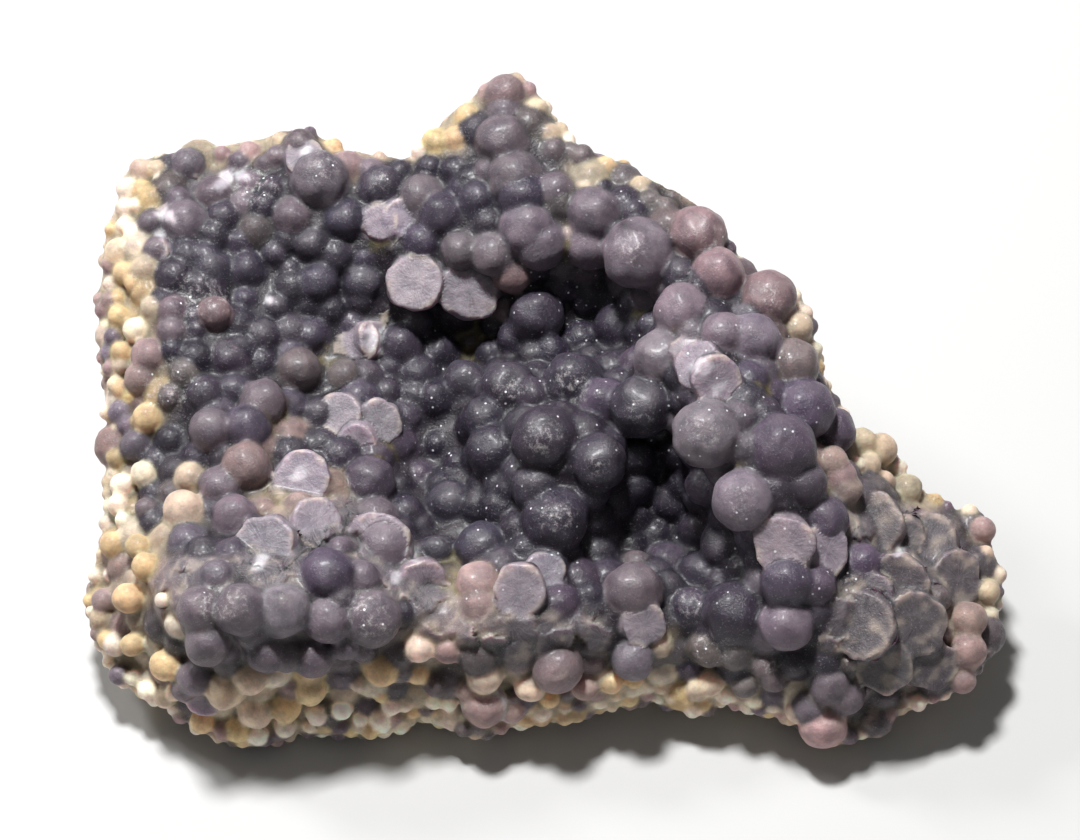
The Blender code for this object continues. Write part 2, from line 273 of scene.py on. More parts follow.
def ring_faces(ring_count, spokes):
    """Faces between rings, closed with a fan at the crown and at the bottom."""
    faces = []
    for ring in range(ring_count - 1):
        for spoke in range(spokes):
            after = (spoke + 1) % spokes
            a, b = ring * spokes + spoke, ring * spokes + after
            faces.append((a, a + spokes, b + spokes, b))
    crown, bottom = ring_count * spokes, ring_count * spokes + 1
    last = (ring_count - 1) * spokes
    for spoke in range(spokes):
        after = (spoke + 1) % spokes
        faces.append((crown, spoke, after))
        faces.append((bottom, last + after, last + spoke))
    return faces


crown = placed(0.0, 0.0, float(lie_height(0.0, 0.0)) - BED_DEPTH)
corners = np.vstack(rings + [crown[None], np.array([[0.0, BASE_BACK, 0.0]])])
ROUGH_REACH = 0.9    # mm
ROUGH_FROM = 0.3     # mm above the table; the cut stays flat
ROUGH_SEED = 3       # noise_vector without a seed differs from run to run
noise.seed_set(ROUGH_SEED)
for index, corner in enumerate(corners):
    if corner[2] > ROUGH_FROM:
        coarse = noise.noise_vector(Vector(corner) * 0.35) * 0.6
        fine = noise.noise_vector(Vector(corner) * 1.1) * 0.4
        corners[index] = corner + np.array(coarse + fine) * ROUGH_REACH
body = mesh_from("body", corners, ring_faces(len(rings), SPOKES))
print("Body:", len(corners), "corners, highest", corners[:, 2].max().round(1), "mm")

# %% [markdown]
# ## Every grape, one by one
# The larger grapes carry the likeness, so each one is read off: across, up, radius,
# and how far its middle stands out of the bed as a share of the radius. They are grouped by
# the tone of the grape. A scatter could fill the space faster, but would lose the clusters,
# the proud single balls and the chains along the ridge.

# %% The grapes, by tone: across, up and radius in mm, and stand
GRAPES = {}
GRAPES["lilac"] = [
    (-43.2, 6.8, 0.8, 0.2), (-42.0, 0.8, 1.2, 0.3), (-41.2, -0.5, 1.0, 0.3), (-1.3, 19.1, 2.7, 0.4),
    (0.0, 17.7, 2.7, 0.4), (5.0, 17.5, 2.5, 0.3), (9.7, 16.6, 3.6, 0.5), (-30.5, -9.6, 2.2, 0.5),
    (-15.5, -12.7, 2.8, 0.3), (14.2, 10.8, 2.8, 0.4), (12.1, 6.2, 2.8, 0.4), (18.4, 8.6, 2.2, 0.4),
    (21.3, 8.0, 2.7, 0.4), (16.7, -1.4, 3.4, 0.8), (20.2, -8.0, 3.0, 0.7), (24.6, -20.5, 2.6, 0.5),
    (-25.7, -19.1, 2.6, 0.25), (-21.2, -20.0, 2.3, 0.2), (9.3, -24.0, 2.1, 0.5),
]
GRAPES["rose"] = [
    (-32.5, 10.7, 1.7, 0.8), (-2.8, 14.6, 2.0, 0.4), (15.8, 18.6, 2.9, 0.4), (17.8, 14.6, 2.7, 0.4),
    (1.8, -24.8, 2.5, 0.5), (-3.5, 32.6, 2.0, 0.3), (-29.4, -4.6, 2.4, 0.7), (22.8, 12.1, 2.9, 0.5),
    (25.3, 5.5, 2.6, 0.5),
]
GRAPES["mauve"] = [
    (-42.7, 8.3, 0.9, 0.2), (-40.5, -2.5, 1.5, 0.3), (-42.2, -25.5, 1.0, 0.3),
    (-35.2, 25.5, 1.8, 0.3), (-27.4, 25.7, 0.9, 0.3), (-30.0, 25.8, 1.2, 0.3),
    (-24.1, 27.6, 1.6, 0.4), (-26.3, 26.3, 1.2, 0.3), (-36.2, 22.0, 1.4, 0.2),
    (-35.5, 19.8, 2.2, 0.2), (-38.3, 17.0, 1.4, 0.2), (-39.0, 19.8, 1.3, 0.2),
    (-32.5, 22.5, 1.8, 0.2), (-29.0, 23.6, 1.3, 0.2), (-29.5, 21.5, 1.6, 0.1),
    (-24.8, 20.3, 2.0, 0.1), (-36.7, 10.9, 1.6, 0.2), (-36.8, 9.0, 1.5, 0.2),
    (-22.0, 24.0, 2.9, 0.3), (-17.0, 24.8, 1.4, 0.2), (-11.8, 22.2, 2.3, 0.2),
    (-11.6, 20.6, 1.2, 0.3), (-8.0, 16.9, 1.9, 0.4), (-4.7, 16.6, 2.3, 0.4),
    (-3.7, 27.9, 2.7, 0.4), (-5.2, 24.7, 1.5, 0.2), (-2.5, 24.2, 2.7, 0.3), (1.4, 22.8, 2.0, 0.3),
    (5.4, 20.7, 2.6, 0.4), (-3.5, 30.8, 1.7, 0.3), (-27.7, 1.8, 2.3, 0.7),
    (-32.9, -1.0, 2.2, 0.6), (-32.0, -6.7, 2.1, 0.5), (29.0, -26.5, 2.0, 0.3),
    (-34.0, -19.0, 2.3, 0.2), (-30.0, -19.0, 2.5, 0.25), (-20.0, -12.9, 1.2, 0.3),
    (-16.8, -19.8, 2.8, 0.25), (-19.5, -22.5, 1.5, 0.4), (-17.8, -23.0, 1.3, 0.4),
    (-33.3, -22.3, 2.3, 0.4), (-27.4, -23.4, 2.0, 0.4), (-35.5, -26.8, 1.4, 0.4),
    (-34.5, -25.8, 1.8, 0.3), (-22.8, -23.7, 2.2, 0.4), (-25.2, -23.5, 1.7, 0.4),
    (9.7, -14.5, 1.5, 0.3), (9.3, -17.1, 2.9, 0.5), (-17.8, -15.9, 1.9, 0.35),
    (-32.4, -15.6, 1.7, 0.3), (30.6, -27.6, 1.9, 0.2), (26.9, -28.6, 1.8, 0.3),
]
GRAPES["violet"] = [
    (-29.3, -0.8, 2.3, 0.6), (-17.1, -6.2, 2.6, 0.5), (6.3, 1.8, 2.4, 0.3), (26.3, 1.0, 3.1, 0.5),
    (24.2, -2.8, 3.4, 0.5), (29.3, -1.1, 2.4, 0.4), (16.4, -6.6, 1.9, 0.3),
    (26.2, -6.4, 2.5, 0.4), (28.5, -10.0, 2.4, 0.3), (24.6, -16.2, 2.6, 0.5),
    (27.5, -16.5, 2.0, 0.3), (32.2, -14.2, 1.9, 0.2), (-21.3, -15.4, 2.6, 0.35),
]
GRAPES["slate"] = [
    (-26.8, 23.0, 1.4, 0.2), (-31.6, 20.2, 1.8, 0.1), (-33.5, 16.4, 1.6, 0.1),
    (-32.7, 15.0, 2.0, 0.1), (-30.0, 17.6, 1.6, 0.1), (-29.3, 14.9, 2.0, 0.1),
    (-26.5, 16.7, 1.5, 0.1), (-25.0, 15.0, 1.2, 0.1), (-32.8, 13.2, 1.3, 0.2),
    (-29.5, 12.0, 1.2, 0.2), (-34.5, 10.2, 1.2, 0.2), (-34.4, 9.0, 1.1, 0.2),
    (-31.0, 6.0, 2.0, 0.1), (-33.5, 2.5, 2.0, 0.1), (-30.5, 3.0, 1.8, 0.1),
    (-22.2, 13.7, 2.1, 0.4), (-22.8, 17.5, 1.9, 0.2), (-19.5, 20.0, 2.1, 0.2),
    (-17.6, 16.2, 1.2, 0.2), (-17.8, 13.8, 2.0, 0.3), (-23.0, 8.5, 2.0, 0.1),
    (-16.0, 23.3, 2.2, 0.2), (-9.8, 20.5, 2.4, 0.2), (-7.8, 23.2, 1.4, 0.2),
    (-6.2, 21.9, 2.0, 0.2), (-11.8, 17.8, 1.8, 0.2), (-5.2, 19.7, 1.6, 0.1),
    (-1.7, 22.3, 2.6, 0.3), (9.3, 20.7, 1.4, 0.2), (14.0, 14.4, 1.8, 0.2), (16.5, 13.7, 2.0, 0.2),
    (6.2, 23.2, 1.0, 0.2), (-28.5, -11.0, 1.5, 0.3), (-22.2, 0.5, 1.7, 0.2),
    (-9.0, -8.3, 2.2, 0.5), (-10.3, -13.2, 1.8, 0.4), (-5.9, -12.8, 2.6, 0.5),
    (-7.5, 3.8, 2.3, 0.4), (-3.3, 3.2, 2.8, 0.5), (-0.7, 2.4, 1.9, 0.4), (3.3, 3.9, 3.0, 0.6),
    (0.4, -1.8, 3.2, 0.6), (5.8, -4.2, 2.8, 0.6), (10.1, 1.3, 3.1, 0.7), (-0.5, -6.7, 2.4, 0.4),
    (1.6, -10.1, 3.2, 0.6), (-0.4, 10.4, 2.8, 0.7), (18.5, -12.5, 2.6, 0.2),
    (16.0, -15.2, 2.0, 0.2), (15.0, -18.8, 2.0, 0.2), (11.0, 9.5, 1.2, 0.3),
    (-14.0, 7.5, 2.2, 0.3), (-10.3, 6.8, 2.0, 0.3), (-12.3, 10.0, 1.6, 0.2),
    (19.5, -19.5, 3.4, 0.2),
]
GRAPES["deep"] = [
    (-36.8, 7.0, 1.2, 0.2), (-14.0, 24.8, 1.2, 0.2), (-11.0, 25.2, 1.4, 0.2),
    (-8.5, 25.0, 1.4, 0.2), (-21.8, -2.6, 1.7, 0.2), (-13.5, -9.2, 1.8, 0.3),
    (-8.0, 8.8, 1.2, 0.1), (-5.0, 6.6, 1.6, 0.3), (-5.3, 0.0, 2.5, 0.4), (-4.7, -3.2, 2.8, 0.4),
    (-10.3, 2.0, 2.0, 0.3), (-6.5, -0.5, 2.0, 0.3), (9.5, -3.5, 2.0, 0.3), (-3.1, -7.0, 1.5, 0.3),
    (5.0, -7.2, 2.0, 0.2), (-2.5, 8.3, 1.8, 0.4), (5.0, 12.5, 2.2, 0.2), (2.0, 13.5, 1.8, 0.2),
    (7.8, 9.3, 2.5, 0.2), (4.0, 8.0, 2.0, 0.2), (1.0, 6.8, 1.8, 0.3), (13.2, -8.0, 2.2, 0.2),
    (-14.0, -19.4, 1.4, 0.2),
]
GRAPES["dusty"] = [
    (-39.5, -8.8, 1.1, 0.3), (-28.3, 19.0, 2.0, 0.1), (-35.5, 4.8, 1.5, 0.2),
    (-37.0, 2.3, 1.4, 0.2), (-19.5, 4.3, 1.8, 0.2), (-24.1, 5.1, 2.2, 0.6), (1.3, 27.0, 1.3, 0.3),
    (3.0, 26.8, 1.0, 0.3), (4.2, 26.3, 1.3, 0.3), (11.0, 21.8, 1.2, 0.3), (12.5, 21.2, 1.2, 0.3),
    (-6.8, 7.5, 1.2, 0.1), (17.0, -22.7, 2.1, 0.2), (19.7, -23.0, 2.0, 0.2),
    (22.5, -24.6, 1.4, 0.2), (33.5, -7.0, 1.5, 0.3), (39.7, -18.0, 1.5, 0.3),
    (-14.0, -25.0, 1.3, 0.3), (-10.4, -26.5, 1.2, 0.4), (20.5, -26.4, 1.4, 0.3),
    (23.3, -25.8, 1.5, 0.3),
]
GRAPES["pink"] = [
    (-43.0, 15.5, 0.9, 0.2), (-43.0, 12.0, 0.9, 0.2), (-43.0, 5.2, 0.8, 0.2),
    (-43.7, -18.0, 1.2, 0.3), (-44.2, -21.4, 0.8, 0.4), (-31.8, 26.6, 0.9, 0.3),
    (-29.1, 26.7, 1.2, 0.3), (-39.2, 6.5, 1.7, 0.3), (-40.0, 4.2, 1.6, 0.3),
    (-19.3, 25.3, 1.7, 0.2), (-5.3, 32.8, 0.9, 0.4), (-1.2, 33.0, 0.9, 0.4),
    (-3.7, 33.6, 0.9, 0.4), (-24.0, -8.8, 1.6, 0.3), (-5.6, -28.5, 2.2, 0.4),
    (-2.8, -29.0, 1.3, 0.3), (-26.3, -0.7, 1.2, 0.3), (-6.3, -16.3, 2.2, 0.4),
    (44.2, -11.0, 1.4, 0.3), (42.8, -20.0, 1.9, 0.4), (42.7, -23.1, 1.9, 0.4),
    (42.3, -26.0, 1.4, 0.4), (28.3, -30.6, 2.4, 0.3), (-31.6, -31.2, 1.0, 0.4),
    (-9.2, -23.0, 1.4, 0.4), (-7.2, -27.0, 1.2, 0.4), (4.5, -26.8, 1.3, 0.4),
    (2.8, 18.5, 0.9, 0.9), (29.2, -4.2, 1.7, 0.9), (29.9, -5.6, 1.7, 0.9), (30.5, -7.0, 1.7, 0.9),
]
GRAPES["buff"] = [
    (-39.9, 25.0, 1.2, 0.3), (-38.3, 25.0, 1.0, 0.3), (-42.2, 16.8, 1.4, 0.2),
    (-42.0, 5.4, 0.8, 0.3), (-42.5, 3.5, 0.9, 0.3), (-43.9, -19.8, 1.1, 0.3),
    (-37.5, -27.8, 1.1, 0.3), (-26.1, 28.0, 0.8, 0.4), (-39.4, 15.2, 1.4, 0.2),
    (-38.7, 11.2, 1.3, 0.2), (-0.4, 30.9, 1.3, 0.3), (-1.0, 29.8, 1.0, 0.3),
    (0.8, 28.5, 1.3, 0.3), (2.0, 29.0, 0.8, 0.3), (7.8, 24.6, 0.6, 0.4), (4.5, 23.2, 1.0, 0.2),
    (10.2, 23.2, 1.2, 0.3), (-35.1, -5.7, 1.5, 0.4), (-35.6, -9.1, 2.1, 0.5),
    (25.7, 9.3, 1.6, 0.4), (28.0, 3.5, 0.8, 0.4), (32.5, -2.0, 1.2, 0.4), (34.2, -2.9, 1.6, 0.4),
    (33.0, -4.4, 1.2, 0.3), (34.5, -6.0, 1.0, 0.3), (36.7, -7.0, 1.6, 0.4),
    (44.5, -13.5, 1.0, 0.3), (44.8, -17.2, 1.3, 0.3), (-29.0, -25.7, 1.7, 0.4),
    (-36.5, -27.3, 0.9, 0.4), (-31.5, -27.0, 2.0, 0.4), (-28.5, -29.2, 1.7, 0.4),
    (25.7, -29.0, 1.2, 0.4), (-18.2, -26.3, 0.9, 0.4), (-5.5, -25.5, 1.8, 0.3),
    (-1.0, -26.6, 1.6, 0.4), (12.0, -22.5, 1.2, 0.3), (17.0, -26.4, 1.3, 0.3),
    (15.8, -27.0, 1.2, 0.3),
]
GRAPES["ochre"] = [
    (-39.9, 23.0, 1.0, 0.3), (-41.6, 14.7, 1.1, 0.3), (-40.7, 13.7, 0.9, 0.3),
    (-42.2, 10.4, 1.1, 0.3), (-41.9, 6.8, 1.0, 0.3), (-41.8, 3.1, 0.9, 0.4),
    (-41.0, 2.5, 0.7, 0.4), (-43.0, 0.4, 0.6, 0.5), (-39.3, 0.2, 1.5, 0.4),
    (-42.4, -3.8, 1.0, 0.3), (-42.8, -12.5, 1.3, 0.3), (-40.2, -12.7, 1.3, 0.3),
    (-39.5, -14.6, 1.4, 0.3), (-41.2, -17.8, 1.5, 0.3), (-43.2, -22.0, 1.0, 0.3),
    (-40.8, -22.5, 1.2, 0.2), (-7.3, 30.3, 1.3, 0.3), (-8.3, 28.0, 1.4, 0.3),
    (-10.3, 27.7, 1.5, 0.3), (6.6, 25.3, 1.1, 0.3), (29.8, -30.0, 0.8, 0.7),
    (-37.5, -24.5, 1.6, 0.4), (-25.4, -28.8, 1.5, 0.4), (-33.8, -30.2, 1.2, 0.3),
    (-30.3, -31.0, 1.3, 0.3), (-22.9, -27.0, 1.6, 0.4), (-15.8, -24.8, 1.8, 0.3),
    (-15.9, -27.5, 0.8, 0.4), (-12.3, -25.4, 1.1, 0.3), (1.0, -28.0, 0.9, 0.4),
    (7.2, -26.3, 1.1, 0.4), (9.4, -26.0, 0.9, 0.4),
]
GRAPES["cream"] = [
    (-38.0, 23.9, 0.8, 0.4), (-41.2, 23.0, 1.2, 0.3), (-41.6, 21.2, 1.0, 0.3),
    (-40.2, 21.5, 0.8, 0.3), (-41.5, 19.5, 0.9, 0.3), (-40.8, 18.8, 0.9, 0.3),
    (-39.7, -5.4, 1.3, 0.4), (-41.8, -6.5, 1.2, 0.3), (-42.2, -8.5, 1.1, 0.3),
    (-41.8, -10.0, 0.8, 0.4), (-44.9, -19.1, 0.6, 0.5), (-42.5, -22.5, 1.2, 0.3),
    (-40.7, -25.8, 0.8, 0.3), (-39.3, -27.0, 1.0, 0.3), (-40.5, 9.0, 1.2, 0.3),
    (-12.0, 26.8, 1.0, 0.3), (31.8, -4.5, 0.8, 0.3), (43.0, -9.3, 0.9, 0.4),
    (-37.8, -18.0, 0.8, 0.6), (-25.5, -30.7, 1.1, 0.4), (-28.2, -31.6, 1.0, 0.4),
    (-22.3, -29.5, 1.1, 0.4), (-19.8, -29.0, 1.0, 0.4), (-18.0, -30.0, 0.7, 0.4),
    (-16.0, -30.0, 1.0, 0.4), (-14.9, -28.6, 1.0, 0.4), (-13.6, -28.4, 0.9, 0.4),
    (-10.6, -28.1, 0.9, 0.4), (-9.1, -28.3, 0.9, 0.4), (-12.0, -22.8, 1.5, 0.4),
]
print("Grapes of each tone:", {tone: len(places) for tone, places in GRAPES.items()})

# %% [markdown]
# ## Broken grapes
# Where a grape was knocked off, a flat disc is left: whitish lilac, with fine rays from its
# middle and a pale rim. Each is a ball cut by a plane. The last two numbers lean the plane
# away from the line of sight: to the right, and upwards.

# %% Broken grapes: across, up, radius, stand, lean right, lean up
DISCS = [
    (-16.1, 19.8, 1.9, 0.6, -0.15, 0.1), (-13.9, 20.3, 1.8, 0.6, 0.2, 0.1),
    (-12.5, 13.7, 2.9, 0.8, -0.1, 0.15), (-7.1, 12.9, 3.1, 0.8, 0.1, -0.1),
    (-17.9, 7.8, 2.0, 0.7, -0.3, 0.1), (-16.7, 8.2, 1.9, 0.9, 0.7, 0.2),
    (-19.9, 0.7, 2.2, 0.7, -0.3, 0.2), (-16.1, -0.1, 2.3, 0.8, 0.1, 0.0),
    (-18.3, -2.0, 2.0, 0.6, -0.1, -0.3), (-23.8, -5.7, 2.7, 0.7, -0.1, 0.1),
    (-2.0, -17.0, 2.6, 0.8, -0.1, -0.15), (0.5, -15.2, 2.1, 0.6, 0.2, 0.2),
    (16.0, 5.2, 2.6, 0.7, -0.3, 0.3), (17.6, 3.9, 2.5, 0.7, 0.25, -0.1),
    (14.6, 6.8, 1.6, 0.7, -0.1, 0.5), (24.5, -12.5, 3.0, 0.6, -0.1, -0.1),
    (28.5, -13.0, 2.5, 0.5, 0.3, 0.0), (10.3, -20.4, 2.2, 0.6, 0.1, -0.2),
    (-33.7, -28.2, 1.6, 0.9, -0.1, -0.3), (-5.6, -28.5, 2.2, 0.7, -0.1, -0.4),
    (-2.8, -29.0, 1.4, 0.7, 0.3, -0.3), (-23.6, 26.2, 2.0, 0.7, -0.1, 0.5),
    (-37.2, 20.2, 1.4, 0.5, -0.5, 0.2), (-38.2, 16.8, 1.3, 0.5, -0.6, 0.1),
    (-27.4, -12.6, 3.1, 0.45, -0.25, 0.15), (-22.4, -10.2, 2.5, 0.6, 0.25, 0.25),
    (-16.2, -12.4, 3.2, 0.5, -0.1, 0.1), (-11.8, -16.4, 2.5, 0.45, 0.2, -0.2),
    (33.4, -10.6, 3.2, 0.3, -0.3, 0.15), (38.6, -12.6, 3.4, 0.3, 0.1, 0.3),
    (41.6, -15.8, 2.8, 0.25, 0.4, 0.0), (35.8, -16.4, 3.2, 0.35, -0.1, -0.15),
    (32.2, -20.6, 3.4, 0.3, -0.3, 0.1), (37.4, -20.4, 3.4, 0.3, 0.25, -0.1),
    (34.4, -24.6, 3.0, 0.25, -0.05, -0.4), (39.2, -24.4, 2.6, 0.25, 0.35, -0.3),
    (36.3, -11.7, 2.2, 0.45, 0.0, 0.1), (33.4, -17.2, 1.9, 0.45, -0.2, 0.1),
]
print(len(DISCS), "broken grapes")

# %% [markdown]
# ## One table for all growths
# Geometry Nodes, the fusing and the colours all need the same facts, so the listed places
# become arrays once: middle, radius, tone number, and for the cut ones the plane.

# %% The table of growths
TONES = ["lilac", "rose", "mauve", "violet", "slate", "deep", "dusty", "pink", "buff",
         "ochre", "cream", "pale", "ground"]
LOBE_FROM = 31.0     # broken grapes to the right of this are grey
BURIED = 0.20        # the middle of a grape with stand 0 lies this share of a radius below
middles, radii, tones, cuts = [], [], [], []


def add_growth(across, up, radius, stand, tone, cut=None):
    """One growth into the table; its middle is kept on the line of sight."""
    on_bed = placed(across, up, float(lie_height(across, up)))
    toward_eye = (EYE - on_bed) / np.linalg.norm(EYE - on_bed)
    middles.append(on_bed + toward_eye * radius * (stand - BURIED))
    radii.append(radius)
    tones.append(TONES.index(tone))
    cuts.append(cut)


for tone, places in GRAPES.items():
    for across, up, radius, stand in places:
        add_growth(across, up, radius, stand, tone)
for across, up, radius, stand, right, upward in DISCS:
    facing = TOWARD + np.array([right, 0, 0]) + PLANE_UP * upward
    tone = "ground" if across > LOBE_FROM else "pale"
    add_growth(across, up, radius, stand, tone, facing / np.linalg.norm(facing))
middles = np.array(middles)
radii = np.array(radii)
tones = np.array(tones)
hand_count = len(middles)
print("Growths placed by hand:", hand_count)

# %% [markdown]
# ## Geometry Nodes make the balls
# A ball is one shape repeated hundreds of times, which is what Instance on Points is for.
# The points carry their radius and their number; the tree scales a round ball on each and
# realizes it, so the result is plain mesh.

# %% Helpers for node trees
def new_tree(name, inputs):
    """A node group with a geometry input and these named number inputs."""
    tree = bpy.data.node_groups.new(name, "GeometryNodeTree")
    tree.interface.new_socket("Geometry", in_out="INPUT", socket_type="NodeSocketGeometry")
    for label, kind, value in inputs:
        socket = tree.interface.new_socket(label, in_out="INPUT", socket_type=kind)
        socket.default_value = value
    tree.interface.new_socket("Geometry", in_out="OUTPUT", socket_type="NodeSocketGeometry")
    return tree, tree.nodes.new("NodeGroupInput"), tree.nodes.new("NodeGroupOutput")


def set_input(modifier, label, value):
    """Sets a modifier's input by the identifier of its socket."""
    for item in modifier.node_group.interface.items_tree:
        if item.item_type == "SOCKET" and item.in_out == "INPUT" and item.name == label:
            modifier[item.identifier] = value


def add_node(tree, kind, **settings):
    """A node with its settings."""
    node = tree.nodes.new(kind)
    for key, value in settings.items():
        setattr(node, key, value)
    return node


def plain_mesh(source, name):
    """The evaluated mesh of an object as a new object; the source is removed."""
    bpy.context.view_layer.update()
    ready = source.evaluated_get(bpy.context.evaluated_depsgraph_get())
    made = in_scene(name, bpy.data.meshes.new_from_object(ready))
    bpy.data.objects.remove(source, do_unlink=True)
    return made


print("Node trees so far:", len(bpy.data.node_groups))

# %% A tree that puts a ball on every point
BALL_TURNS_SEED = 4
BALL_DIVISIONS = 4
ball_stuff = bpy.data.materials.new("working_stone")


def balls_at(tree, spots, ball, scale, result):
    """Puts a ball of this scale on each spot, realizes them and ends the tree."""
    strew = add_node(tree, "GeometryNodeInstanceOnPoints")
    real = add_node(tree, "GeometryNodeRealizeInstances")
    stuff = add_node(tree, "GeometryNodeSetMaterial")
    stuff.inputs["Material"].default_value = ball_stuff
    for start, end in (
            (spots, strew.inputs["Points"]), (ball.outputs["Mesh"], strew.inputs["Instance"]),
            (scale, strew.inputs["Scale"]),
            (strew.outputs["Instances"], real.inputs["Geometry"]),
            (real.outputs["Geometry"], stuff.inputs["Geometry"]),
            (stuff.outputs["Geometry"], result.inputs["Geometry"])):
        tree.links.new(start, end)
    return strew


def ball_tree():
    """Points with a radius become balls, each turned another way."""
    tree, given, result = new_tree(
        "balls_on_points", [("Divisions", "NodeSocketInt", BALL_DIVISIONS)])
    ball = add_node(tree, "GeometryNodeMeshIcoSphere")
    ball.inputs["Radius"].default_value = 1.0
    tree.links.new(given.outputs["Divisions"], ball.inputs["Subdivisions"])
    size = add_node(tree, "GeometryNodeInputNamedAttribute", data_type="FLOAT")
    size.inputs["Name"].default_value = "radius"
    strew = balls_at(tree, given.outputs["Geometry"], ball, size.outputs["Attribute"], result)
    turn = add_node(tree, "FunctionNodeRandomValue", data_type="FLOAT_VECTOR")
    turn.inputs["Max"].default_value = (math.tau, math.tau, math.tau)
    turn.inputs["Seed"].default_value = BALL_TURNS_SEED
    tree.links.new(turn.outputs["Value"], strew.inputs["Rotation"])
    return tree


ball_nodes = ball_tree()
print("Nodes in the ball tree:", len(ball_nodes.nodes))

# %% Balls from the table
def store(mesh, label, values, kind="FLOAT"):
    """Stores numbers or vectors on the corners of a mesh."""
    attribute = mesh.attributes.new(label, kind, "POINT")
    field = {"FLOAT_VECTOR": "vector", "FLOAT_COLOR": "color"}.get(kind, "value")
    number_kind = np.int32 if kind == "INT" else np.float32
    attribute.data.foreach_set(field, np.asarray(values, number_kind).ravel())


def corner_array(mesh):
    """The corners of a mesh as an array."""
    flat = np.empty(len(mesh.vertices) * 3, np.float32)
    mesh.vertices.foreach_get("co", flat)
    return flat.reshape(-1, 3).astype(float)


points = mesh_from("grape_points", middles, [])
store(points.data, "radius", radii)
store(points.data, "growth", np.arange(hand_count), "INT")
rounding = points.modifiers.new("balls", "NODES")
rounding.node_group = ball_nodes
set_input(rounding, "Divisions", BALL_DIVISIONS)
grapes = plain_mesh(points, "grapes")
print("Balls:", len(grapes.data.vertices), "corners")

# %% [markdown]
# ## Real grapes aren't perfect balls
# A little low noise makes each grape slightly lumpy. The cut ones lose their cap: every
# corner beyond the plane is moved onto it, with shallow rays so that the break isn't a mirror.

# %% Lumps and cuts
LUMP = 0.07          # share of the radius
LUMP_CUT = 0.13      # broken ones have an uneven outline
LUMP_LOBE = 0.15     # and a little more on the right lobe
CUT_AT = 0.18        # the plane lies this share of a radius in front of the middle
RAY_DEPTH = 0.015    # mm
LUMP_WAVES = 0.55    # per mm
LUMP_SHIFT = 3.7     # each grape has its own stretch of noise
LUMP_REACH = 1.6
RAY_COUNTS = (17, 7)


def across_disc(facing):
    """Two directions that lie in a cut: one level, one square to it."""
    side = np.cross(facing, [0.0, 0.0, 1.0])
    side /= np.linalg.norm(side)
    return side, np.cross(facing, side)


grape_of = np.empty(len(grapes.data.vertices), np.int32)
grapes.data.attributes["growth"].data.foreach_get("value", grape_of)
ball_points = corner_array(grapes.data)
from_middle = ball_points - middles[grape_of]
for index in range(len(ball_points)):
    spot = Vector(ball_points[index] * LUMP_WAVES + grape_of[index] * LUMP_SHIFT)
    lump = LUMP if cuts[grape_of[index]] is None else LUMP_CUT
    if tones[grape_of[index]] == TONES.index("ground"):
        lump = LUMP_LOBE
    from_middle[index] *= 1.0 + lump * noise.noise(spot) * LUMP_REACH
for number, facing in enumerate(cuts):
    if facing is None:
        continue
    mine = np.flatnonzero(grape_of == number)
    out = from_middle[mine] @ facing
    level = CUT_AT * radii[number]
    beyond = out > level
    flat = from_middle[mine] - np.outer(np.where(beyond, out - level, 0.0), facing)
    level_way, square_way = across_disc(facing)
    turn = np.arctan2(flat @ square_way, flat @ level_way)
    rays = np.sin(turn * RAY_COUNTS[0] + number) * np.sin(turn * RAY_COUNTS[1] + 2 * number)
    flat += np.outer(np.where(beyond, rays * RAY_DEPTH, 0.0), facing)
    from_middle[mine] = flat
ball_points = middles[grape_of] + from_middle
grapes.data.vertices.foreach_set("co", ball_points.astype(np.float32).ravel())
grapes.data.update()
print("Cut growths:", sum(cut is not None for cut in cuts))

# %% [markdown]
# ## Small beads between the grapes
# The bed between the grapes and the outer walls are covered in far more beads than anyone
# would place by hand. Distribute Points on Faces in its Poisson mode keeps them a set
# distance apart, and an attribute on the body says where they grow. The flat cut stays bare.

# %% Where beads grow
def smooth_step(low, high, value):
    """0 below low, 1 above high, smooth between."""
    share = np.clip((value - low) / (high - low), 0.0, 1.0)
    return share * share * (3 - 2 * share)


def finder(places):
    """A tree that finds the nearest of these places."""
    found = kdtree.KDTree(len(places))
    for index, place in enumerate(places):
        found.insert(Vector(place), index)
    found.balance()
    return found


ring_of = np.append(np.repeat(np.arange(len(rings)), SPOKES), [0, len(rings)])
front = smooth_step(10.0, -6.0, corners[:, 1])
on_top = smooth_step(TOP_RINGS - 4, TOP_RINGS - 14, ring_of)
near_rim = smooth_step(TOP_RINGS - 16, TOP_RINGS - 8, ring_of)
above_cut = smooth_step(TOP_RINGS + SIDE_RINGS, TOP_RINGS + SIDE_RINGS * 0.85, ring_of)
grape_places = finder(middles)
ASKED = 6            # grapes asked by each corner how near they are
room = np.empty(len(corners))
for index, corner in enumerate(corners):
    near = grape_places.find_n(Vector(corner), ASKED)
    room[index] = min(item[2] - radii[item[1]] for item in near)
free = smooth_step(-0.3, 0.5, room) * (1 - ground_share(*seen_place(corners)))
behind_rim = smooth_step(-30.5, -29.0, seen_place(corners)[1])
store(body.data, "bed_share", on_top * free * behind_rim)
store(body.data, "rim_share", near_rim * above_cut * (0.45 + 0.55 * front) * (0.2 + 0.8 * free))
print("Corners where beads may grow on the bed:", int((on_top * free > 0.5).sum()))

# %% Strew the beads
BEADS_MOST = 2.0     # per square mm, before they are thinned to their distance
BEAD_DIVISIONS = 2


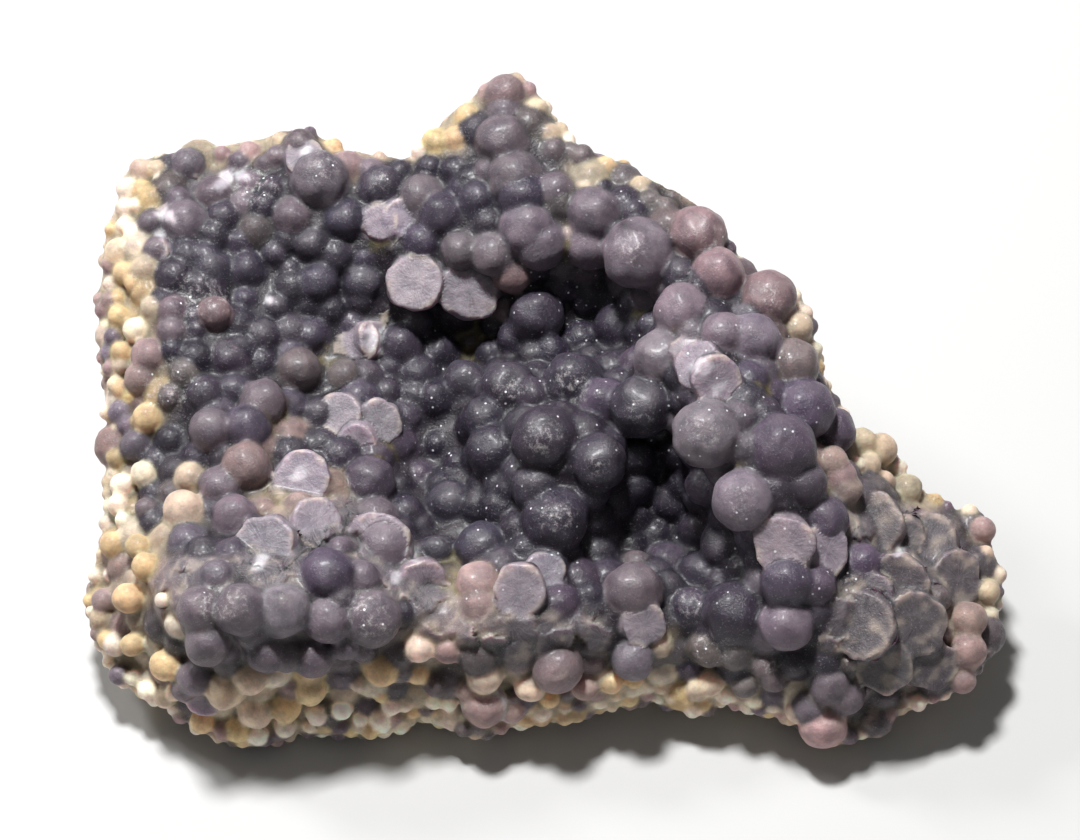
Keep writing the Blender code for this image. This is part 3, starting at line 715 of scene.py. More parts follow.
def strew_tree():
    """Balls of random size strewn over a mesh by a stored share."""
    tree, given, result = new_tree("strewn_beads", [
        ("Apart", "NodeSocketFloat", 0.0), ("Smallest", "NodeSocketFloat", 0.0),
        ("Largest", "NodeSocketFloat", 0.0), ("Sunk", "NodeSocketFloat", 0.0),
        ("Share", "NodeSocketString", ""), ("Seed", "NodeSocketInt", 0)])
    spread = add_node(tree, "GeometryNodeDistributePointsOnFaces", distribute_method="POISSON")
    spread.inputs["Density Max"].default_value = BEADS_MOST
    share = add_node(tree, "GeometryNodeInputNamedAttribute", data_type="FLOAT")
    size = add_node(tree, "FunctionNodeRandomValue")
    number = add_node(tree, "GeometryNodeInputIndex")
    keep_number = add_node(tree, "GeometryNodeStoreNamedAttribute", data_type="INT")
    keep_number.inputs["Name"].default_value = "bead"
    sink = add_node(tree, "GeometryNodeSetPosition")
    inward = add_node(tree, "ShaderNodeVectorMath", operation="SCALE")
    depth = add_node(tree, "ShaderNodeMath", operation="MULTIPLY")
    ball = add_node(tree, "GeometryNodeMeshIcoSphere")
    ball.inputs["Radius"].default_value = 1.0
    ball.inputs["Subdivisions"].default_value = BEAD_DIVISIONS
    asked = given.outputs
    for start, end in (
            (asked["Geometry"], spread.inputs["Mesh"]),
            (asked["Apart"], spread.inputs["Distance Min"]),
            (asked["Share"], share.inputs["Name"]), (asked["Seed"], spread.inputs["Seed"]),
            (share.outputs["Attribute"], spread.inputs["Density Factor"]),
            (asked["Smallest"], size.inputs[2]), (asked["Largest"], size.inputs[3]),
            (asked["Seed"], size.inputs["Seed"]), (size.outputs[1], depth.inputs[0]),
            (asked["Sunk"], depth.inputs[1]), (spread.outputs["Normal"], inward.inputs[0]),
            (depth.outputs[0], inward.inputs["Scale"]),
            (spread.outputs["Points"], sink.inputs["Geometry"]),
            (inward.outputs["Vector"], sink.inputs["Offset"]),
            (sink.outputs["Geometry"], keep_number.inputs["Geometry"]),
            (number.outputs["Index"], keep_number.inputs["Value"])):
        tree.links.new(start, end)
    balls_at(tree, keep_number.outputs["Geometry"], ball, size.outputs[1], result)
    return tree


strewn = strew_tree()


def strew_beads(name, share, apart, smallest, largest, sunk, seed):
    """Beads on the body as a mesh, with the middle and radius of each."""
    carrier = in_scene(name, body.data.copy())
    growing = carrier.modifiers.new("beads", "NODES")
    growing.node_group = strewn
    for label, value in (("Apart", apart), ("Smallest", smallest), ("Largest", largest),
                         ("Sunk", -sunk), ("Share", share), ("Seed", seed)):
        set_input(growing, label, value)
    beads = plain_mesh(carrier, name)
    number = np.empty(len(beads.data.vertices), np.int32)
    beads.data.attributes["bead"].data.foreach_get("value", number)
    spots = corner_array(beads.data)
    amount = np.bincount(number)
    centre = np.stack([np.bincount(number, spots[:, axis]) / amount for axis in range(3)], axis=1)
    radius = np.bincount(number, np.linalg.norm(spots - centre[number], axis=1)) / amount
    return beads, centre, radius


bed_beads, bed_middles, bed_radii = strew_beads(
    "bed_beads", "bed_share", apart=2.4, smallest=1.5, largest=2.4, sunk=0.5, seed=11)
rim_beads, rim_middles, rim_radii = strew_beads(
    "rim_beads", "rim_share", apart=1.2, smallest=0.5, largest=1.0, sunk=0.1, seed=12)
print("Beads on the bed:", len(bed_middles), " on rim and walls:", len(rim_middles))

# %% [markdown]
# ## Fuse everything
# The specimen is one grown mass, so balls, beads and body become one skin. A Boolean of two
# thousand balls is slow and fragile. Voxel remesh takes everything at once, and at a quarter
# of a millimetre it keeps the creases between grapes. A little smoothing takes its steps away.

# %% One skin
VOXEL = 0.25     # mm
SMOOTHING = 0.5
SMOOTH_PASSES = 2


def join_meshes(name, sources):
    """All corners and faces of several objects in one; the sources are removed."""
    gathered = bmesh.new()
    for source in sources:
        gathered.from_mesh(source.data)
        bpy.data.objects.remove(source, do_unlink=True)
    mesh = bpy.data.meshes.new(name)
    gathered.to_mesh(mesh)
    gathered.free()
    return in_scene(name, mesh)


mass = join_meshes("mass", [body, grapes, bed_beads, rim_beads])
for attribute in list(mass.data.attributes):
    if not attribute.is_required and not attribute.is_internal:
        mass.data.attributes.remove(attribute)
fusing = mass.modifiers.new("fuse", "REMESH")
fusing.mode = "VOXEL"
fusing.voxel_size = VOXEL
easing = mass.modifiers.new("ease", "SMOOTH")
easing.factor = SMOOTHING
easing.iterations = SMOOTH_PASSES
skin = plain_mesh(mass, "skin")
skin_points = corner_array(skin.data)
print("Skin:", len(skin_points), "corners")

# %% [markdown]
# ## Who grew here?
# Every corner of the skin asks which growth it belongs to and how far away its surface is.
# That gives each grape its own tone, and shows where the bed is bare. Asking all growths from all
# corners is slow, so the space is divided into cells and each cell asks only its neighbours.

# %% Nearest growth of every corner
all_middles = np.vstack([middles, bed_middles, rim_middles])
all_radii = np.concatenate([radii, bed_radii, rim_radii])
cut_axes = np.zeros((len(all_middles), 3))
cut_levels = np.full(len(all_middles), 99.0)
for number, facing in enumerate(cuts):
    if facing is not None:
        cut_axes[number] = facing
        cut_levels[number] = CUT_AT * radii[number]
CELL = 4.0           # mm
REACH = 4.0          # mm; growths further from a cell than this aren't asked
CELL_CORNER = 0.87   # from the middle of a cell to its corner, as a share of its side
FAR = 9.0            # mm; the distance given to a spot with nothing near it


def nearest_growths(spots):
    """For each spot: the growth whose surface is nearest, and that distance."""
    best = np.zeros(len(spots), np.int32)
    first = np.full(len(spots), FAR)
    keys = np.floor(spots / CELL).astype(np.int64)
    code = (keys[:, 0] + 50) * 1000000 + (keys[:, 1] + 50) * 1000 + keys[:, 2] + 50
    order = np.argsort(code, kind="stable")
    edges = np.flatnonzero(np.diff(code[order])) + 1
    for group in np.split(order, edges):
        centre = (keys[group[0]] + 0.5) * CELL
        away = np.linalg.norm(all_middles - centre, axis=1) - all_radii
        near = np.flatnonzero(away < CELL * CELL_CORNER + REACH)
        if len(near) < 2:
            continue
        offset = spots[group][:, None, :] - all_middles[near][None]
        gap = np.linalg.norm(offset, axis=2) - all_radii[near]
        over = np.einsum("ijk,jk->ij", offset, cut_axes[near]) - cut_levels[near]
        gap = np.maximum(gap, over)
        best[group] = near[gap.argmin(axis=1)]
        first[group] = gap.min(axis=1)
    return best, first


owner, gap_first = nearest_growths(skin_points)
print("Corners on the bare bed:", int((gap_first > VOXEL).sum()))

# %% [markdown]
# ## Neighbours on the skin
# Many steps below smooth something over the skin: a mask, a tone, the shape itself. All of
# them need the mean of the neighbours of each corner, so that is made once from the edges.

# %% Means of neighbours
edge_ends = np.empty(len(skin.data.edges) * 2, np.int32)
skin.data.edges.foreach_get("vertices", edge_ends)
edge_a, edge_b = edge_ends[0::2], edge_ends[1::2]
corner_count = len(skin_points)
links_at = np.bincount(edge_a, minlength=corner_count) + np.bincount(edge_b, minlength=corner_count)
links_at = np.maximum(links_at, 1)


def neighbour_mean(values):
    """The mean of each corner's neighbours."""
    total = np.zeros_like(values)
    for axis in range(values.shape[1]):
        total[:, axis] = (np.bincount(edge_a, values[edge_b, axis], corner_count)
                          + np.bincount(edge_b, values[edge_a, axis], corner_count))
    return total / links_at[:, None]


def softened(values, passes):
    """A mask spread over its neighbours this many times."""
    values = np.asarray(values, float)[:, None]
    for _ in range(passes):
        values = neighbour_mean(values)
    return values[:, 0]


def skin_normals():
    """The directions that the corners of the skin face."""
    flat = np.empty(corner_count * 3, np.float32)
    skin.data.vertices.foreach_get("normal", flat)
    return flat.reshape(-1, 3).astype(float)


def reshape_skin():
    """Puts the moved corners into the mesh; gives the directions they now face."""
    skin.data.vertices.foreach_set("co", skin_points.astype(np.float32).ravel())
    skin.data.update()
    return skin_normals()


def waves(spots, size, seed, depth=2):
    """Soft noise from 0 to 1 over the corners; size is the wave length in mm."""
    shift = Vector((seed * 13.1, seed * 7.7, seed * 3.3))
    found = np.empty(len(spots))
    for index, spot in enumerate(spots):
        found[index] = noise.fractal(Vector(spot) / size + shift, 1.0, 2.0, depth)
    return np.clip(found * 0.55 + 0.5, 0.0, 1.0)


normals = skin_normals()
print("Edges on the skin:", len(edge_a))

# %% [markdown]
# ## Broken ground
# In front and on the right the grapes broke off together. What is left is one uneven face of
# small facets with steps between them. The corners there slide along the line of sight onto
# tilted planes, one plane for each facet. The steps are remembered, to be drawn pale later.

# %% Facets
FACET_APART = 3.0    # mm
FACET_TILT = 0.24
FACET_STEP = 0.26    # mm
MOST_SLIDE = 1.6     # mm
SLIDE_SHARE = 0.85   # how far a corner goes towards its plane
EDGE_WIDE = 0.22     # mm; the pale edge of a facet
BEND_WAVES = 0.9     # per mm; bends the edges of the facets
BEND_REACH = 0.55    # mm
facet_rng = np.random.default_rng(21)
grid = np.arange(-50, 50, FACET_APART)
facet_middles = np.stack(np.meshgrid(grid, grid), axis=-1).reshape(-1, 2)
facet_middles += facet_rng.uniform(-0.5, 0.5, facet_middles.shape) * FACET_APART
facet_tilts = facet_rng.normal(0, FACET_TILT, facet_middles.shape)
facet_steps = facet_rng.normal(0, FACET_STEP, len(facet_middles))
seen_across, seen_up = seen_place(skin_points)
ground_mask = ground_share(seen_across, seen_up) * smooth_step(0.05, 0.30, gap_first)
ground_mask = softened(ground_mask, 2)
to_eye = EYE - skin_points
to_eye /= np.linalg.norm(to_eye, axis=1)[:, None]
ground_mask *= smooth_step(0.05, 0.45, np.einsum("ij,ij->i", normals, to_eye))
on_ground = np.flatnonzero(ground_mask > 0.02)
bend = np.array([noise.noise_vector(Vector(spot) * BEND_WAVES) for spot in skin_points[on_ground]])
spot_2d = np.stack([seen_across[on_ground], seen_up[on_ground]], axis=1) + bend[:, :2] * BEND_REACH
facet_places = finder([(place[0], place[1], 0.0) for place in facet_middles])
facet_shift = np.empty(len(on_ground))
facet_edge = np.zeros(corner_count)
facet_of = np.zeros(corner_count, int)
for row, spot in enumerate(spot_2d):
    near, next_one = facet_places.find_n(Vector((spot[0], spot[1], 0.0)), 2)
    facet = near[1]
    facet_of[on_ground[row]] = facet + 1
    facet_shift[row] = facet_steps[facet] + (spot - facet_middles[facet]) @ facet_tilts[facet]
    facet_edge[on_ground[row]] = math.exp(-((next_one[2] - near[2]) / EDGE_WIDE) ** 2)
target = placed(seen_across[on_ground], seen_up[on_ground],
                lie_height(seen_across[on_ground], seen_up[on_ground]))
slide = np.einsum("ij,ij->i", target - skin_points[on_ground], to_eye[on_ground])
slide = np.clip(slide + GROUND_STANDS + facet_shift, -MOST_SLIDE, MOST_SLIDE)
slide *= SLIDE_SHARE
slide *= ground_mask[on_ground]
skin_points[on_ground] += to_eye[on_ground] * slide[:, None]
normals = reshape_skin()
print("Corners on broken ground:", len(on_ground))

# %% [markdown]
# ## Creases
# Dirt and shadow gather where the surface is hollow. Smoothing the skin moves a hollow
# corner outwards and a proud one inwards, so the move along the normal is a measure of it.
# A few passes find the fine creases, many passes find the wide hollows.

# %% Hollow and proud places
def hollowness(passes):
    """How far smoothing moves each corner outwards, mm."""
    moved = skin_points.copy()
    for _ in range(passes):
        moved = neighbour_mean(moved)
    return np.einsum("ij,ij->i", moved - skin_points, normals)


FINE_PASSES = 4
WIDE_PASSES = 40
CREASE_FILL = 0.7    # share of a crease that dirt fills
FILL_MOST = 0.2      # mm
fine_hollow = hollowness(FINE_PASSES)
wide_hollow = hollowness(WIDE_PASSES)
skin_points += normals * (np.clip(fine_hollow, 0.0, FILL_MOST) * CREASE_FILL)[:, None]
normals = reshape_skin()
print("Fine hollow, 5 and 95 in a hundred:", np.percentile(fine_hollow, [5, 95]).round(3))
print("Wide hollow, 5 and 95 in a hundred:", np.percentile(wide_hollow, [5, 95]).round(3))

# %% [markdown]
# ## Tones
# Grape agate isn't one purple. The ridge is lilac, the hollow slate to deep violet, the walls
# buff, ochre and cream, and each grape differs a little from the next. The tones are named.
# Beads take the tone of the grapes around them, paler ones on the ledge, grey ones on the
# right lobe and buff ones on the walls.

# %% Tones of all growths
TONE_COLOURS = {
    "lilac": (0.145, 0.119, 0.143), "rose": (0.180, 0.128, 0.134), "mauve": (0.114, 0.093, 0.108),
    "violet": (0.074, 0.057, 0.085), "slate": (0.038, 0.031, 0.048), "deep": (0.022, 0.0175, 0.031),
    "dusty": (0.104, 0.088, 0.088), "pink": (0.270, 0.195, 0.180), "buff": (0.450, 0.365, 0.265),
    "ochre": (0.500, 0.370, 0.205), "cream": (0.680, 0.585, 0.450), "pale": (0.235, 0.200, 0.228),
    "ground": (0.104, 0.090, 0.100),
}
print(len(TONE_COLOURS), "tones")

# %% Which tone each bead takes
rng = np.random.default_rng(7)
WALL_TONES = [TONES.index(tone) for tone in "buff ochre cream pink buff mauve cream dusty".split()]
LEFT_TONES = [TONES.index(tone) for tone in "cream buff cream ochre pink cream".split()]
LOBE_BEADS_FROM = LOBE_FROM - 3.0
LEFT_WALL = -37.0        # mm; walls to the left of this are the palest
FRONT_WALL = -24.5       # mm; as seen, the top ends here in front
LEDGE = (-38.0, -9.0, -26.0, -15.5)      # mm, as seen: left, right, front and back of the ledge
BUFF_TO_DUSTY = 0.7      # of the bed beads near buff grapes
RIM_AS_NEAR = 0.12       # of the rim beads take the lilac of their neighbour


def in_ledge(across, up):
    """True on the front ledge, where the beads are paler."""
    return LEDGE[0] < across < LEDGE[1] and LEDGE[2] < up < LEDGE[3]


def either(share, first, second):
    """The first tone in this share of the draws, else the second."""
    return TONES.index(first if rng.random() < share else second)


bead_tones = []
bed_across, bed_up = seen_place(bed_middles)
for place, across, up in zip(bed_middles, bed_across, bed_up):
    near = [item[1] for item in grape_places.find_n(Vector(place), 3)]
    tone = tones[near[rng.integers(3)]]
    if TONES[tone] in ("pale", "ground", "dusty", "mauve"):
        tone = either(0.4, "violet", "slate")
    if in_ledge(across, up) and TONES[tone] in ("slate", "violet", "deep"):
        tone = either(0.5, "dusty", "mauve")
    if place[0] > LOBE_BEADS_FROM:
        tone = either(0.5, "mauve", "ground")
    if TONES[tone] in ("buff", "ochre", "cream") and rng.random() < BUFF_TO_DUSTY:
        tone = TONES.index("dusty")
    if across < LEFT_WALL - 2:
        tone = LEFT_TONES[rng.integers(len(LEFT_TONES))]
    elif up < FRONT_WALL and across < LOBE_BEADS_FROM:
        tone = WALL_TONES[rng.integers(len(WALL_TONES))]
    bead_tones.append(tone)
for place in rim_middles:
    near = tones[grape_places.find(Vector(place))[1]]
    choice = LEFT_TONES if place[0] < LEFT_WALL else WALL_TONES
    walls = choice[rng.integers(len(choice))]
    as_near = rng.random() < RIM_AS_NEAR and TONES[near] in ("lilac", "rose", "mauve", "pink")
    bead_tones.append(near if as_near else walls)
all_tones = np.concatenate([tones, bead_tones])
palette = np.array([TONE_COLOURS[tone] for tone in TONES])
LIGHT_VARIES = 0.09
HUE_VARIES = 0.025
BED_BEADS_DARKER = 0.72
own_colour = palette[all_tones] * (1 + rng.normal(0, LIGHT_VARIES, (len(all_tones), 1)))
own_colour *= 1 + rng.normal(0, HUE_VARIES, (len(all_tones), 3))
own_colour[hand_count:hand_count + len(bed_middles)] *= BED_BEADS_DARKER
print("Tones given to", len(all_tones), "growths")

# %% [markdown]
# ## Colour on the skin
# The colour of a corner starts from its growth. Creases are painted darker as shade, and browner
# with dirt on the walls; wide hollows get more painted shade, and clay lies in some of them.
# Upper faces carry a thin grey dust. The bare bed between beads is brown rock on the walls,
# dusty on the ledge and nearly black violet inside, partly painted shade in the gaps. The
# front wall gets painted light, which makes it lighter than its tone.

# %% Spots: across, up, radius, mm
CHIPS = [
    (-31.5, 23.9, 1.0), (-29.8, 24.3, 0.7), (-37.4, 20.6, 0.9), (-38.0, 18.6, 0.6),
    (-23.4, 27.0, 0.8), (-28.0, -14.2, 0.8), (-27.0, 12.0, 0.4), (16.0, 5.4, 1.3),
    (18.0, 3.2, 1.0), (-16.6, 8.2, 1.2), (-12.6, -13.4, 0.8), (-14.4, -15.8, 0.7),
    (36.0, -13.0, 0.6), (-24.0, -5.4, 0.8)]
# Frosted grape tops: the pale specks there are partly frost and partly painted highlight.
FROST_AND_HIGHLIGHTS = [
    (0.4, -1.8, 2.2), (10.1, 1.3, 2.0), (20.2, -8.0, 2.0), (-3.3, 3.2, 2.0),
    (3.3, 3.9, 1.8), (-22.0, 25.5, 2.4), (-16.0, 23.3, 2.0), (9.6, 17.0, 2.2),
    (16.6, -1.0, 1.8), (5.8, -4.2, 1.4), (15.0, -18.8, 2.4), (17.0, -22.8, 2.2),
    (22.5, -24.6, 1.6), (-29.0, 24.0, 2.4), (-34.0, 12.0, 3.0), (-37.0, 3.0, 3.0),
    (17.0, 18.6, 1.6), (23.0, 12.5, 1.8), (-31.0, -18.6, 2.6), (-17.0, -20.0, 3.0),
    (1.6, -9.8, 2.0)]
# Places where glints are painted into the colour.
SPARKLE = [
    (-2.0, -2.0, 14.0), (14.0, 2.0, 14.0), (4.0, 12.0, 12.0), (-4.0, -12.0, 8.0),
    (24.0, -14.0, 8.0)]
CLAY_SPOTS = [
    (20.1, -3.6, 0.9), (13.5, 9.8, 0.9), (3.0, 17.0, 1.3), (-15.5, -3.0, 1.3),
    (-26.5, -7.5, 1.4), (-16.0, 17.7, 1.2), (-8.8, -15.0, 2.0), (-20.5, 6.3, 1.6),
    (-6.8, 7.5, 2.2), (-6.0, 11.0, 1.6), (-26.0, 0.5, 1.6), (-9.0, -16.5, 1.5),
    (16.0, -23.0, 1.2), (10.0, 10.5, 1.0), (22.0, 3.4, 1.4)]


def spots_mask(places, ragged):
    """A ragged mask around each listed place, as seen."""
    mask = np.zeros(corner_count)
    for across, up, radius in places:
        away = np.hypot(seen_across - across, seen_up - up) / radius
        mask = np.maximum(mask, smooth_step(1.0, 0.55, away + (ragged - 0.5) * 1.4))
    return mask * (np.einsum("ij,ij->i", normals, to_eye) > 0)


def mix(first, second, share):
    """Blend two colours corner by corner."""
    return first * (1 - share[:, None]) + second * share[:, None]


def tone_colour(tone):
    """The colour of a named tone."""
    return palette[TONES.index(tone)]


print(len(CHIPS), "chips,", len(FROST_AND_HIGHLIGHTS), "frosted places,", len(CLAY_SPOTS), "with clay")

# %% Walls and ledge
WALL_SOFT = 14           # passes; how softly the walls begin
wall_tones = np.isin(all_tones, [TONES.index(tone) for tone in ("buff", "ochre", "cream", "pink")])
wallness = softened(wall_tones[owner], WALL_SOFT)
toward_lobe = smooth_step(24.0, 32.0, seen_across)
front_wall = smooth_step(0.0, -3.5, seen_up + 23.5 + 4.0 * toward_lobe) * (1 - 0.45 * toward_lobe)
left_wall = smooth_step(-39.5, -42.0, seen_across)
wallness = np.maximum(wallness, np.maximum(front_wall, left_wall) * 0.8)
ledge_left, ledge_right, ledge_front, ledge_back = LEDGE
ledge = smooth_step(ledge_left, ledge_left + 3, seen_across)
ledge *= smooth_step(ledge_right, ledge_right - 3, seen_across)
ledge *= smooth_step(ledge_front - 1, ledge_front + 1, seen_up)
ledge *= smooth_step(ledge_back, ledge_back - 3, seen_up)
print("Corners on the walls:", int((wallness > 0.5).sum()), " ledge:", int((ledge > 0.5).sum()))

# %% Growths, bare bed and broken ground
# The nearly black bed inside is partly the dark rock and partly painted shade in the gaps between
# grapes.
BED_DARK_AND_GAP_SHADE = np.array([0.012, 0.008, 0.014])
BED_BROWN = np.array([0.345, 0.280, 0.205])
broad = waves(skin_points, 5.0, 1)
fleck = waves(skin_points, 1.1, 2)
colour = own_colour[owner]
bare = smooth_step(0.04, 0.30, gap_first)
bed_and_gap_shade = mix(BED_DARK_AND_GAP_SHADE, tone_colour("dusty"), ledge)
colour = mix(colour, mix(bed_and_gap_shade, BED_BROWN, wallness), bare)
ground_colour = mix(tone_colour("ground"), tone_colour("pink") * 0.8, wallness * 0.5)
colour = mix(colour, ground_colour, ground_mask)
print("Mean colour with bed and ground:", colour.mean(axis=0).round(3))

# %% Dust, and painted shade and dirt in creases and hollows
DUST = np.array([0.125, 0.118, 0.122])
CREASE_WALL = np.array([0.300, 0.220, 0.120])
dusted = smooth_step(0.55, 0.95, normals[:, 2]) * smooth_step(0.42, 0.75, broad) * (1 - wallness)
dusted *= smooth_step(0.03, -0.03, fine_hollow)
colour = mix(colour, DUST, dusted * 0.4 * (0.5 + 0.5 * fleck))
# Painted shade: creases are darkened to three tenths of their colour; on the walls the crease
# colour leans to a dirt brown.
crease = smooth_step(0.02, 0.14, fine_hollow)
crease_shade_and_dirt_colour = mix(colour * 0.30, CREASE_WALL, wallness * 0.8)
colour = mix(colour, crease_shade_and_dirt_colour, crease * (0.45 + 0.4 * fleck))
# Painted shade: wide hollows are darkened to six tenths of their colour.
hollow_shade = smooth_step(0.15, 0.9, wide_hollow)
colour = mix(colour, colour * 0.6, hollow_shade)
print("Mean colour with creases:", colour.mean(axis=0).round(3))

# %% Facets, front and right lobe
RIM_PALE = np.array([0.500, 0.420, 0.340])
FRONT_PAINTED_LIGHT = 0.4
VEINS_SHOW = 0.4
FACET_SEED = 5
ground_light = waves(skin_points, 2.4, 3)
facet_tone = 0.85 + 0.35 * np.random.default_rng(FACET_SEED).random(len(facet_middles) + 1)
colour = mix(colour, colour * facet_tone[facet_of][:, None], ground_mask)
ground_pale = ground_mask * facet_edge * smooth_step(0.5, 0.7, ground_light)
colour = mix(colour, RIM_PALE, ground_pale * 0.6)
# Painted light: the front wall, shaded by the ledge, is made lighter than its tone.
colour *= 1 + FRONT_PAINTED_LIGHT * front_wall[:, None]
lobe = softened(np.maximum(all_tones[owner] == TONES.index("ground"), ground_mask), 3)
veins = smooth_step(0.58, 0.74, waves(skin_points, 1.5, 8, 4))
colour *= 1 - lobe[:, None] * (0.30 - 0.50 * fleck[:, None])
colour = mix(colour, RIM_PALE, lobe * veins * VEINS_SHOW)
print("Mean colour with facets:", colour.mean(axis=0).round(3))

# %% Chips, frost with painted highlights, and clay
CHIP_WHITE = np.array([0.640, 0.610, 0.640])
CLAY = np.array([0.130, 0.105, 0.048])
COLOUR_PASSES = 2        # softens the borders between tones
colour = mix(colour, CHIP_WHITE, spots_mask(CHIPS, fleck) * 0.7)
frost_and_highlight_mask = softened(spots_mask(FROST_AND_HIGHLIGHTS, broad), 4)
sparkle = softened(np.maximum(spots_mask(SPARKLE, broad) * 0.7, frost_and_highlight_mask), 2)
clay_mask = spots_mask(CLAY_SPOTS, fleck) * smooth_step(-0.02, 0.06, fine_hollow)
colour = mix(colour, CLAY, clay_mask * 0.9)
for _ in range(COLOUR_PASSES):
    colour = (colour + neighbour_mean(colour)) / 2
print("Mean colour:", colour.mean(axis=0).round(3))

# %% [markdown]
# ## Rays of the broken cells
# A broken grape shows fine rays from its middle. The rays need a place inside the disc, so
# each corner on a cut stores its position there, as a share of the radius, and a mask.

# %% Places inside the discs
GROUND_RAYS = 0.7        # the broken ground shows its rays a little less
LOBE_RAYS = 0.45         # the rays of the right lobe are faint
ray_place = np.zeros((corner_count, 3))
broken = np.zeros(corner_count)
faint_rays = np.ones(corner_count)
for number, facing in enumerate(cuts):
    if facing is None:
        continue
    mine = np.flatnonzero(owner == number)
    offset = skin_points[mine] - middles[number]
    level = offset @ facing - cut_levels[number]
    level_way, square_way = across_disc(facing)
    ray_place[mine, 0] = offset @ level_way / radii[number]
    ray_place[mine, 1] = offset @ square_way / radii[number]
    ray_place[mine, 2] = number
    broken[mine] = smooth_step(-0.45, -0.12, level)
    if all_tones[number] == TONES.index("ground"):
        faint_rays[mine] = LOBE_RAYS
in_facet = spot_2d - facet_middles[facet_of[on_ground] - 1]
ray_place[on_ground, :2] = in_facet / (0.6 * FACET_APART)
ray_place[on_ground, 2] = facet_of[on_ground] + hand_count
broken = np.maximum(broken, ground_mask * GROUND_RAYS)
from_axis = np.hypot(ray_place[:, 0], ray_place[:, 1])
rim = smooth_step(0.70, 0.97, from_axis) * broken * (1 - ground_mask)
rim *= smooth_step(0.35, 0.7, waves(skin_points, 1.6, 5))
colour = mix(colour, RIM_PALE, rim * 0.5)
print("Corners on broken faces:", int((broken > 0.5).sum()))
broken *= faint_rays

# %% [markdown]
# ## Put the facts on the skin and cut it into zones
# The skin is cut into zones: left slope, back rise, hollow, ridge, front ledge, right lobe
# and underside. One skin of this size is too heavy for one piece. A zone keeps a narrow hem
# beyond its border, tucked a little below its neighbour, so no gap or flicker shows there.

# %% Zones
ZONE_SEEDS = {
    "left_slope": [(-33, 20), (-30, 8), (-20, 12), (-38, 5), (-30, -4)],
    "back_rise": [(-22, 22), (-8, 20), (0, 24), (10, 18)],
    "hollow": [(-10, 6), (0, 2), (6, -6), (-8, -8), (10, 5)],
    "ridge": [(22, 10), (20, -2), (26, -10), (26, 2)],
    "front_ledge": [(-34, -20), (-20, -20), (-8, -22), (4, -24)],
    "right_lobe": [(38, -18), (32, -22), (20, -24), (44, -12)],
}
HEM = (0.015, 0.05, 0.12, 0.22, 0.34, 0.47, 0.60, 0.75)     # mm below, for each step out
UNDERSIDE_KEEPS = 0.38   # of its faces; it is large, plain and mostly unseen
UNTOUCHED = 99
middle_across, middle_up = seen_place(all_middles)
zone_names = list(ZONE_SEEDS) + ["underside"]
seed_places = np.array([seed for seeds in ZONE_SEEDS.values() for seed in seeds], float)
seed_zone = np.repeat(np.arange(len(ZONE_SEEDS)), [len(seeds) for seeds in ZONE_SEEDS.values()])
to_seeds = np.hypot(middle_across[:, None] - seed_places[:, 0],
                    middle_up[:, None] - seed_places[:, 1])
skin_points[:, 2] = np.maximum(skin_points[:, 2], 0.0)
growth_zone = seed_zone[np.argmin(to_seeds, axis=1)]
faces_away = normals @ (TOWARD * 0.9 + np.array([0.0, 0.0, 0.25])) < -0.28
own_corners = np.maximum(np.bincount(owner, minlength=len(all_middles)), 1)
away_share = np.bincount(owner, faces_away, len(all_middles)) / own_corners
growth_zone = np.where(away_share > 0.5, len(ZONE_SEEDS), growth_zone)
zone = growth_zone[owner]
print("Corners in each zone:", np.bincount(zone).tolist())

# %% Faces of the skin
face_corners = np.empty(len(skin.data.loops), np.int32)
skin.data.loops.foreach_get("vertex_index", face_corners)
face_starts = np.empty(len(skin.data.polygons), np.int32)
face_sizes = np.empty(len(skin.data.polygons), np.int32)
skin.data.polygons.foreach_get("loop_start", face_starts)
skin.data.polygons.foreach_get("loop_total", face_sizes)
face_of_loop = np.repeat(np.arange(len(face_starts)), face_sizes)
face_zone = zone[face_corners[face_starts]]
print("Faces:", len(face_starts))

